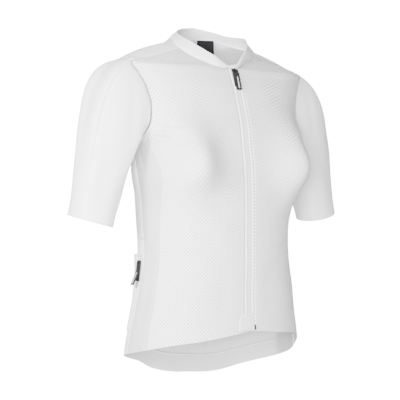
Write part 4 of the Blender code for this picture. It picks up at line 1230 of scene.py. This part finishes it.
def rounded(node_name, name, width, cloth, body="jersey", segments=3, angle=25):
    solid = bpy.data.objects[node_name]
    mesh = solid.data.copy()
    mesh.name = name
    mesh.transform(solid.matrix_world)
    bm = bmesh.new()
    bm.from_mesh(mesh)
    bmesh.ops.remove_doubles(bm, verts=bm.verts[:], dist=1e-6)
    bmesh.ops.dissolve_limit(bm, angle_limit=math.radians(1), verts=bm.verts[:],
                             edges=bm.edges[:])
    bm.to_mesh(mesh)
    bm.free()
    mesh.materials.clear()
    mesh.materials.append(cloth)
    piece = bpy.data.objects.new(name, mesh)
    bpy.context.collection.objects.link(piece)
    edges = piece.modifiers.new("rounded", "BEVEL")
    edges.width, edges.segments, edges.limit_method = width, segments, "ANGLE"
    edges.angle_limit, edges.use_clamp_overlap = math.radians(angle), True
    done = piece.evaluated_get(bpy.context.evaluated_depsgraph_get())
    smooth_mesh = bpy.data.meshes.new_from_object(done)
    piece.modifiers.clear()
    piece.data = smooth_mesh
    smooth_mesh.shade_smooth()
    smooth_mesh.set_sharp_from_angle(angle=math.radians(40))
    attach(piece, body)
    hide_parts(node_name)
    return piece


garage = rounded("zip_garage", "zip_garage_cap", 0.0009, WHITE_KNIT, segments=4)
plane_uv(garage.data, (1, 0, 0), (0, 0, 1))
slider_front = rounded("zip_slider", "zip_slider_body", 0.00028, CAST)
slider_pocket = rounded("pocket_slider", "pocket_slider_body", 0.00028, CAST)
pull_front = rounded("zip_pull", "zip_pull_tab", 0.00035, RUBBER, "front_pull")
pull_pocket = rounded("pocket_pull", "pocket_pull_tab", 0.00035, RUBBER, "side_pull")
print("pull faces:", len(pull_front.data.polygons), len(pull_pocket.data.polygons))


# %% [markdown]
# ## Strips on the pulls
# Each pull's front tab carries a narrow pale moulded strip with rounded ends. It is
# left bare. Beside it the rubber has two shallow raised rims.

# %% Frames of the two pulls: where they are, and the ways across, up and out
FRONT_FRAME = ((0, -0.059132, -0.049756), (1, 0, 0), (0, 0.426517, 0.904479),
               (0, -0.904479, 0.426517))
POCKET_FRAME = ((-0.145363, 0.006716, -0.370365), (-0.136369, -0.990079, 0.033884),
                (0.111094, 0.018704, 0.993634), (-0.984409, 0.139265, 0.107441))
TAB_OUT, TAB_BEND, SLOT_FOOT = 0.0050, -0.016, -0.0062


def tab_place(frame_of, lean, splay, x, up, out):
    """A point of a front tab: leaned sideways, and swung out below its bend."""
    origin, across_way, up_way, out_way = (np.array(v, float) for v in frame_of)
    x = x + lean * np.minimum(0, up - SLOT_FOOT)
    out = out + splay * np.maximum(0, TAB_BEND - up)
    return (origin + x[..., None] * across_way + up[..., None] * up_way
            + out[..., None] * out_way)


def tab_strip(name, body, frame_of, lean, splay, middle, top, foot, half, rise=0.00035):
    """A low rounded bar: an outline with round ends, crowned across."""
    ring = 10
    length = top - foot - 2 * half
    rows = []
    for share, lift in ((1.0, -0.0002), (1.0, 0.6 * rise), (0.90, 0.92 * rise), (0.72, rise),
                        (0.35, rise)):
        turn = np.concatenate([np.linspace(0, math.pi, ring), np.linspace(math.pi, 2 * math.pi, ring)])
        x = middle + half * share * np.cos(turn)
        up = (top + foot) / 2 + half * share * np.sin(turn)
        up = up + np.where(np.arange(2 * ring) < ring, length / 2, -length / 2)
        rows.append(tab_place(frame_of, lean, splay, x, up, np.full(2 * ring, TAB_OUT + lift)))
    bm = bmesh.new()
    rings = [[bm.verts.new(p) for p in row] for row in rows]
    for low, high in zip(rings, rings[1:]):
        for k in range(2 * ring):
            n = (k + 1) % (2 * ring)
            bm.faces.new((low[k], low[n], high[n], high[k]))
    bm.faces.new(rings[-1])
    bm.faces.new(rings[0])
    bmesh.ops.recalc_face_normals(bm, faces=bm.faces[:])
    mesh = bpy.data.meshes.new(name)
    bm.to_mesh(mesh)
    bm.free()
    mesh.shade_smooth()
    mesh.set_sharp_from_angle(angle=math.radians(50))
    mesh.materials.append(MARKING)
    piece = bpy.data.objects.new(name, mesh)
    bpy.context.collection.objects.link(piece)
    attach(piece, body)
    return piece


LEAN, SPLAY = math.tan(math.radians(8)), math.tan(math.radians(20))
strip_front = tab_strip("zip_pull_strip", "front_pull", FRONT_FRAME, LEAN, 0.0,
                        0.0010, -0.0145, -0.0368, 0.0010)
strip_pocket = tab_strip("pocket_pull_strip", "side_pull", POCKET_FRAME, 0.0, SPLAY,
                         0.0008, -0.0185, -0.0372, 0.0010)
print("strips:", strip_front.name, strip_pocket.name)


# %% [markdown]
# ## Neck label
# A woven black label hangs by its top edge from the neck seam. It is left blank. Its
# heat-cut side edges are a little thicker than its middle.

# %% Label
LABEL_LEFT, LABEL_RIGHT = np.array((0.0442, 0.0515)), np.array((0.0145, 0.0621))
LABEL_TOP, LABEL_TALL, LABEL_WIDE = 0.0150, 0.030, 0.0315


def make_label():
    t, down = np.linspace(0, 1, 33), np.linspace(0, 1, 37)
    along = (LABEL_RIGHT - LABEL_LEFT) / np.linalg.norm(LABEL_RIGHT - LABEL_LEFT)
    inward = np.array([along[1], -along[0]])
    inward = inward if inward[1] < 0 else -inward
    flat = LABEL_LEFT[None] + (LABEL_RIGHT - LABEL_LEFT)[None] * t[:, None]
    bow = 0.0007 * down[:, None] ** 2 * np.sin(np.pi * t)[None] + 0.0008 * down[:, None] ** 2
    points = np.empty((37, 33, 3))
    points[..., :2] = flat[None] + inward * bow[..., None]
    points[..., 2] = LABEL_TOP - LABEL_TALL * down[:, None]
    edge = np.minimum(t, 1 - t)[None] * LABEL_WIDE
    thick = 0.0007 + 0.00022 * np.exp(-((edge - 0.0008) / 0.0006) ** 2) + 0 * bow
    near = points.copy()
    near[..., :2] += inward * thick[..., None]
    uv = np.stack(np.meshgrid(t * LABEL_WIDE, -down * LABEL_TALL), -1)
    piece = shell("neck_label_woven", [near], [points], [uv], LABEL_BLACK)
    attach(piece, "jersey")
    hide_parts("neck_label")
    return piece


neck_label = make_label()
print("label:", [round(v, 4) for v in neck_label.dimensions])


# %% [markdown]
# ## Hem band and rear pockets
# A band is sewn inside the back hem, and an elastic bead along its top edge keeps it
# from riding up. Three pockets are one patch, sewn down its sides, foot and two
# dividing lines, so each pocket swells between them and gapes a little at its rim.

# %% Both halves of the back as one net
def back_patch(rows, columns):
    """The back's surface at rows and columns, wearer's left first, in one net."""
    left = back_half_net(1, (rows, columns))
    right = back_half_net(-1, (rows, columns))
    right = np.stack([right[..., 0] + 360.0, right[..., 1]], axis=-1)
    return np.concatenate([left[:, ::-1], right[:, 1:]], axis=1)


def patch_piece(name, node_name, rows, columns, out, thickness, cloth):
    net = back_patch(rows, columns)
    spread = np.concatenate([columns[::-1], -columns[1:]])
    points, normals = body_point(net[..., 0], net[..., 1]), body_normal(net[..., 0], net[..., 1])
    move = fold_offset(points, BODY_PATHS, FOLDS["width"], FOLDS["depth"]) + ripple(points)
    points = points + normals * (move + out(np.asarray(rows)[:, None], spread[None]))[..., None]
    uv = np.stack([run_along(points, 1), run_along(points, 0)], -1)
    piece = shell(name, [points], [points - normals * thickness], [uv], cloth)
    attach(piece, "jersey")
    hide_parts(node_name)
    return piece, points, normals


# %% Hem band and its bead
BAND_ROWS = np.concatenate([[0.03, 0.05], np.linspace(0.1, 1.2, 14), [1.26, 1.3]])
BAND_COLUMNS = np.concatenate([np.arange(0, 12 * 6) / 6, [11.92]])
hem_band, band_points, band_normals = patch_piece(
    "hem_band_cloth", "hem_band", BAND_ROWS, BAND_COLUMNS,
    lambda rows, columns: -0.0014 - 0.0002 * np.exp(-((rows - 1.3) / 0.05) ** 2),
    0.0010, WHITE_KNIT)
bead_path = band_points[-1] - band_normals[-1] * 0.0013
bead = along_paths("hem_band_bead", [bead_path[1:-1]], ROUND_THREAD, BEAD, Thickness=0.0019)
print("band:", hem_band.name, "bead:", bead.name)


# %% Rear pockets
POCKET_LOW, POCKET_TOP, POCKET_SIDE, DIVIDER = 2.0, 8.0, 11.3, 3.5


def pocket_out(rows, columns):
    """Sewn flat at the edges and the dividers, swollen between, gaping at the rim."""
    rise = (rows - POCKET_LOW) / (POCKET_TOP - POCKET_LOW)
    size = np.abs(columns)
    inner, outer = size / DIVIDER, (size - DIVIDER) / (POCKET_SIDE - DIVIDER)
    cell = np.where(size < DIVIDER, np.cos(np.pi / 2 * inner), np.sin(np.pi * np.clip(outer, 0, 1)))
    swell = 0.0026 * cell**0.7 * np.sin(np.pi / 2 * np.clip(rise * 1.15, 0, 1)) ** 0.6
    gape = 0.0028 * cell * rise**6
    hem = 0.0004 * (rise > 0.86)
    edge = 0.0004 * np.exp(-((POCKET_SIDE - size) / 0.1) ** 2)
    wrinkle = 0.00045 * np.sin(5.1 * size + 9 * rise) * np.sin(np.pi * rise) * cell
    return 0.0014 + swell + gape + hem - edge + wrinkle


POCKET_ROWS = np.concatenate([[2.0, 2.03, 2.08], np.arange(13, 47) / 6, [7.9, 7.97, 8.0]])
POCKET_COLUMNS = np.sort(np.concatenate([np.arange(0, 67) / 6, [3.43, 3.57, 11.22, 11.3]]))
pockets, pocket_points, pocket_normals = patch_piece(
    "rear_pockets_cloth", "rear_pockets", POCKET_ROWS, POCKET_COLUMNS, pocket_out, 0.0009,
    WHITE_KNIT)
print("pockets:", len(pockets.data.polygons), "faces")


# %% Pocket zip on the wearer's right
def make_pocket_zip():
    rows = np.linspace(5.3193, 8.0053, 40)
    columns = np.linspace(11.45, 11.88, 15)
    net = back_half_net(-1, (rows, columns))
    points, normals = body_point(net[..., 0], net[..., 1]), body_normal(net[..., 0], net[..., 1])
    t = np.linspace(-1, 1, 15)
    out = 0.0014 + 0.0003 * np.exp(-((np.abs(t) - 0.3) / 0.2) ** 2) - 0.0006 * np.exp(-(t / 0.07) ** 2)
    out = out - 0.0004 * np.abs(t) ** 8
    points = points + normals * out[None, :, None]
    uv = np.stack([run_along(points, 1), run_along(points, 0)], -1)
    piece = shell("pocket_zip_woven", [points], [points - normals * 0.0010], [uv], ZIP_TAPE)
    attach(piece, "jersey")
    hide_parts("pocket_zip")
    return points, normals


pocket_zip_points, pocket_zip_normals = make_pocket_zip()
print("pocket zip length, m:", round(float(run_along(pocket_zip_points, 0)[-1].mean()), 4))


# %% [markdown]
# ## Sewing
# Two rows of thread lie flat beside the seams that join panels. Single rows hold the
# collar, the band, the pockets and the label. Short dense zigzags lock the places
# that are pulled on: pocket corners, both ends of the pocket zip, the collar's end.

# %% Paths beside the cutting lines
def on_folded(points, normals, lift=0.00008):
    move = fold_offset(points, BODY_PATHS, FOLDS["width"], FOLDS["depth"]) + ripple(points)
    return points + normals * (move + lift)[..., None]


def beside(line, side, aside, start=0.004, end=0.996, lift=0.00008):
    """A path on the folded cloth at a distance to one side of a line."""
    net = signed(walk(line, np.linspace(start, end, 260)), side)
    points, normals = body_point(*net.T), body_normal(*net.T)
    along = np.gradient(points, axis=0)
    along /= np.linalg.norm(along, axis=1, keepdims=True)
    return on_folded(points + np.cross(normals, along) * aside, normals, lift)


def yoke(side):
    inner = np.array([YOKE_INNER_ANGLE, float(line_height(NECKLINE, side * YOKE_INNER_ANGLE))])
    return inner + (ARM_FRONT[0] - inner) * np.linspace(0, 1, 100)[:, None]


def neck_lines(side):
    start = centre_line((TAPE_LEFT if side > 0 else TAPE_RIGHT) + EDGE_STRIP)[-1]
    return ruled_line(NECKLINE, start[0], 180.0, side, first=start)


flat_rows, single_rows = [], []
for side in (-1, 1):
    for line in (side_seam(SIDE_FRONT, side), side_seam(SIDE_BACK, side), yoke(side)):
        flat_rows += [beside(line, side, aside) for aside in (-0.0014, 0.0014)]
    single_rows.append(beside(neck_lines(side), side, -0.0020 * side, 0.01, 0.999))
    single_rows += [beside(line, side, -0.0018 * side) for line in (ARM_FRONT, ARM_BACK)]
single_rows += sleeve_rows
print("rows of stitches:", len(flat_rows), "flat and", len(single_rows), "single")


# %% Paths on the back, the band and the pockets
def back_path(side, rows, columns, out):
    """A path over half the back, at pairs of rows and columns, out from the surface."""
    rows, columns = np.broadcast_arrays(np.atleast_1d(rows), np.atleast_1d(columns))
    net = back_half_net(side, (rows, columns))
    net = net[np.arange(len(rows)), np.arange(len(rows))]
    points, normals = body_point(*net.T), body_normal(*net.T)
    return on_folded(points, normals, out)


up_rows, across_columns = np.linspace(2.06, 7.9, 150), np.linspace(0.0, 11.18, 200)
inner_rows = []
for side in (-1, 1):
    single_rows += [back_path(side, row, np.linspace(0, 11.85, 200), 0.00008)
                    for row in (1.02, 1.18)]
    for columns in (DIVIDER - 0.06, DIVIDER + 0.06, 11.19):
        out = pocket_out(up_rows, np.full(150, columns)) + 0.0001
        single_rows.append(back_path(side, up_rows, columns, out))
    for row in (2.10, 7.28):
        out = pocket_out(np.full(200, row), across_columns) + 0.0001
        single_rows.append(back_path(side, row, across_columns, out))
    for columns in (DIVIDER - 0.22, DIVIDER, DIVIDER + 0.22):
        inner_rows.append(back_path(side, np.linspace(1.42, 7.9, 150), columns, -SHELL - 0.0001))
for column in (1, -2):
    single_rows.append(pocket_zip_points[:, column] + pocket_zip_normals[:, column] * 0.0001)
# The seam stitches take the grey thread, whose tone is painted shade.
flat_seams = along_paths("flat_seam_stitches", flat_rows, STITCHES, SHADED_THREAD, Pitch=0.0026,
                         Length=0.0021, Thickness=0.00042)
single_seams = along_paths("single_seam_stitches", single_rows, STITCHES, SHADED_THREAD, Pitch=0.0030,
                           Length=0.0024, Thickness=0.00042)
print("stitches:", len(flat_seams.data.polygons) + len(single_seams.data.polygons), "faces")


# %% Dense zigzags and the label's row
GREY_THREAD = moulded("grey_thread", (0.30, 0.30, 0.31), (0.22, 0.22, 0.23), 0.62, 5200)


def zigzag(middle, along, normal, tall, wide, turns=9):
    """A bar of dense zigzag about a point, `tall` along one way and `wide` across it."""
    middle, along, normal = (np.asarray(v, float) for v in (middle, along, normal))
    along = along - normal * (along @ normal)
    along /= np.linalg.norm(along)
    aside = np.cross(normal, along)
    t = np.linspace(-0.5, 0.5, 2 * turns)[:, None]
    sway = np.where(np.arange(2 * turns) % 2, 0.5, -0.5)[:, None]
    return middle + along * t * tall + aside * sway * wide + normal * 0.0003


def back_zigzag(side, row, column, tall, wide, out, upright):
    path = back_path(side, [row - 0.05, row, row + 0.05], [column] * 3, out)
    net = back_half_net(side, (np.array([row]), np.array([column])))[0, 0]
    normal = body_normal(*net)
    up = path[2] - path[0]
    return zigzag(path[1], up if upright else np.cross(up, normal), normal, tall, wide)


bars = []
for side in (-1, 1):
    for row, column in ((7.80, DIVIDER), (7.80, 11.19), (2.12, DIVIDER)):
        out = float(pocket_out(np.array(row), np.array(column)))
        bars.append(back_zigzag(side, row, column, 0.006, 0.0022, out, False))
for row in (5.42, 5.68, 7.62, 7.90):
    bars.append(back_zigzag(-1, row, 11.66, 0.0070, 0.0016, 0.0016, False))
bars.append(back_zigzag(-1, 9.20, 11.80, 0.006, 0.0016, 0.0002, False))
neck_end = neck_lines(-1)[2] * np.array([-1, 1])
neck_end_at, neck_end_normal = body_point(*neck_end), body_normal(*neck_end)
bars.append(zigzag(neck_end_at + (-0.0012, 0, 0.0012), (0, 0, 1), neck_end_normal, 0.0050, 0.0014))
hem_side = np.array([-84.5, float(line_height(HEM, -84.5)) + 0.0045])
for shift in (-1.0, 0.0, 1.0):
    place = hem_side + np.array([shift, 0])
    bars.append(zigzag(body_point(*place), (0, 0, 1), body_normal(*place), 0.0060, 0.0005))
bar_tacks = along_paths("bar_tacks", bars, ROUND_THREAD, GREY_THREAD, Thickness=0.00045)
inner_seams = along_paths("inner_seam_stitches", inner_rows, STITCHES, GREY_THREAD,
                          Pitch=0.0034, Length=0.0028, Thickness=0.00040)

label_row = LABEL_LEFT + (LABEL_RIGHT - LABEL_LEFT) * np.linspace(0.05, 0.95, 40)[:, None]
label_way = (LABEL_RIGHT - LABEL_LEFT) / np.linalg.norm(LABEL_RIGHT - LABEL_LEFT)
label_in = np.array([label_way[1], -label_way[0]]) * (1 if label_way[0] < 0 else -1)
label_in = label_in if label_in[1] < 0 else -label_in
label_path = np.c_[label_row + label_in * 0.00085, np.full(40, LABEL_TOP - 0.0015)]
label_seam = along_paths("label_stitches", [label_path], STITCHES, BLACK_THREAD,
                         Pitch=0.0022, Length=0.0017, Thickness=0.0004)
print("bars:", len(bars), "faces", len(bar_tacks.data.polygons))


# %% [markdown]
# ## The zip's foot
# Below the last coil the zip ends in a small dark pin and box, of which only the
# lower end shows beside the guard.

# %% Zip foot
def make_zip_foot():
    """A rounded block along the left strip's outer edge, following the body."""
    t = np.linspace(0, 1, 14)
    low = float(line_height(HEM, 0.0)) + 0.0006
    heights = low + 0.0092 * t
    rows = []
    for x, out in ((0.0086, -0.0004), (0.0088, 0.0009), (0.0095, 0.0013), (0.0108, 0.0013),
                   (0.0115, 0.0009), (0.0117, -0.0004)):
        squeeze = 1 - 0.35 * np.abs(2 * t - 1) ** 8
        x = 0.0101 + (x - 0.0101) * squeeze
        angles = edge_angle(x, heights)
        points, normals = body_point(angles, heights), body_normal(angles, heights)
        rows.append(points + normals * (out * squeeze)[:, None])
    bm = bmesh.new()
    net = [[bm.verts.new(p) for p in row] for row in rows]
    for k in range(len(net)):
        n = (k + 1) % len(net)
        for j in range(13):
            bm.faces.new((net[k][j], net[n][j], net[n][j + 1], net[k][j + 1]))
    bm.faces.new([row[0] for row in net])
    bm.faces.new([row[-1] for row in net])
    bmesh.ops.recalc_face_normals(bm, faces=bm.faces[:])
    mesh = bpy.data.meshes.new("zip_foot_box")
    bm.to_mesh(mesh)
    bm.free()
    mesh.shade_smooth()
    mesh.set_sharp_from_angle(angle=math.radians(60))
    mesh.materials.append(CAST)
    piece = bpy.data.objects.new("zip_foot_box", mesh)
    bpy.context.collection.objects.link(piece)
    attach(piece, "jersey")
    return piece


print("zip foot:", make_zip_foot().name)


# %% [markdown]
# ## What each cloth was cut to
# A sleeve is one flat cut whose two long edges are sewn together under the arm.


# %% [markdown]
# ## Floor and backdrop
# White cloth is shown before near-white paper that curves up from the floor, far
# enough behind to stay even.

# %% Paper sweep
def make_paper():
    """A sweep across the camera's line of sight, 5 m behind the jersey."""
    bm = bmesh.new()
    profile = [(-2.6, -1.75), (4.4, -1.75)]
    profile += [(4.4 + 0.6 * math.sin(a), -1.15 - 0.6 * math.cos(a))
                for a in np.linspace(0, math.pi / 2, 13)[1:]]
    profile.append((5.0, 1.3))
    rows = [[bm.verts.new(ahead * far + across * side + Vector((0, 0, z)))
             for side in np.linspace(-1.5, 1.5, 8)] for far, z in profile]
    for low, high in zip(rows, rows[1:]):
        for k in range(7):
            bm.faces.new((low[k], low[k + 1], high[k + 1], high[k]))
    mesh = bpy.data.meshes.new("paper_sweep")
    bm.to_mesh(mesh)
    bm.free()
    mesh.shade_smooth()
    paper, tree, shader = plain("paper", (0.93, 0.93, 0.93), 0.95)
    place = node(tree, "TexCoord").outputs["Object"]
    grain = node(tree, "TexNoise", {0: place, "Scale": 60.0, "Detail": 4.0}).outputs[0]
    colour = mixed(tree, ramp(tree, grain, 0.3, 0.7), (0.92, 0.92, 0.92), (0.94, 0.94, 0.94))
    finish(tree, shader, colour, grain, 0.0004)
    height = node(tree, "SeparateXYZ", {0: place}).outputs[2]
    glow = ramp(tree, height, -1.74, -1.70, 0.3, 16.0)
    tree.links.new(glow, shader.inputs["Emission Strength"])
    shader.inputs["Emission Color"].default_value = (1, 1, 1, 1)
    mesh.materials.append(paper)
    sweep = bpy.data.objects.new("paper_sweep", mesh)
    bpy.context.collection.objects.link(sweep)
    sweep.visible_diffuse = False  # the bright paper doesn't wash out the jersey's back
    return sweep


print("paper:", make_paper().name)
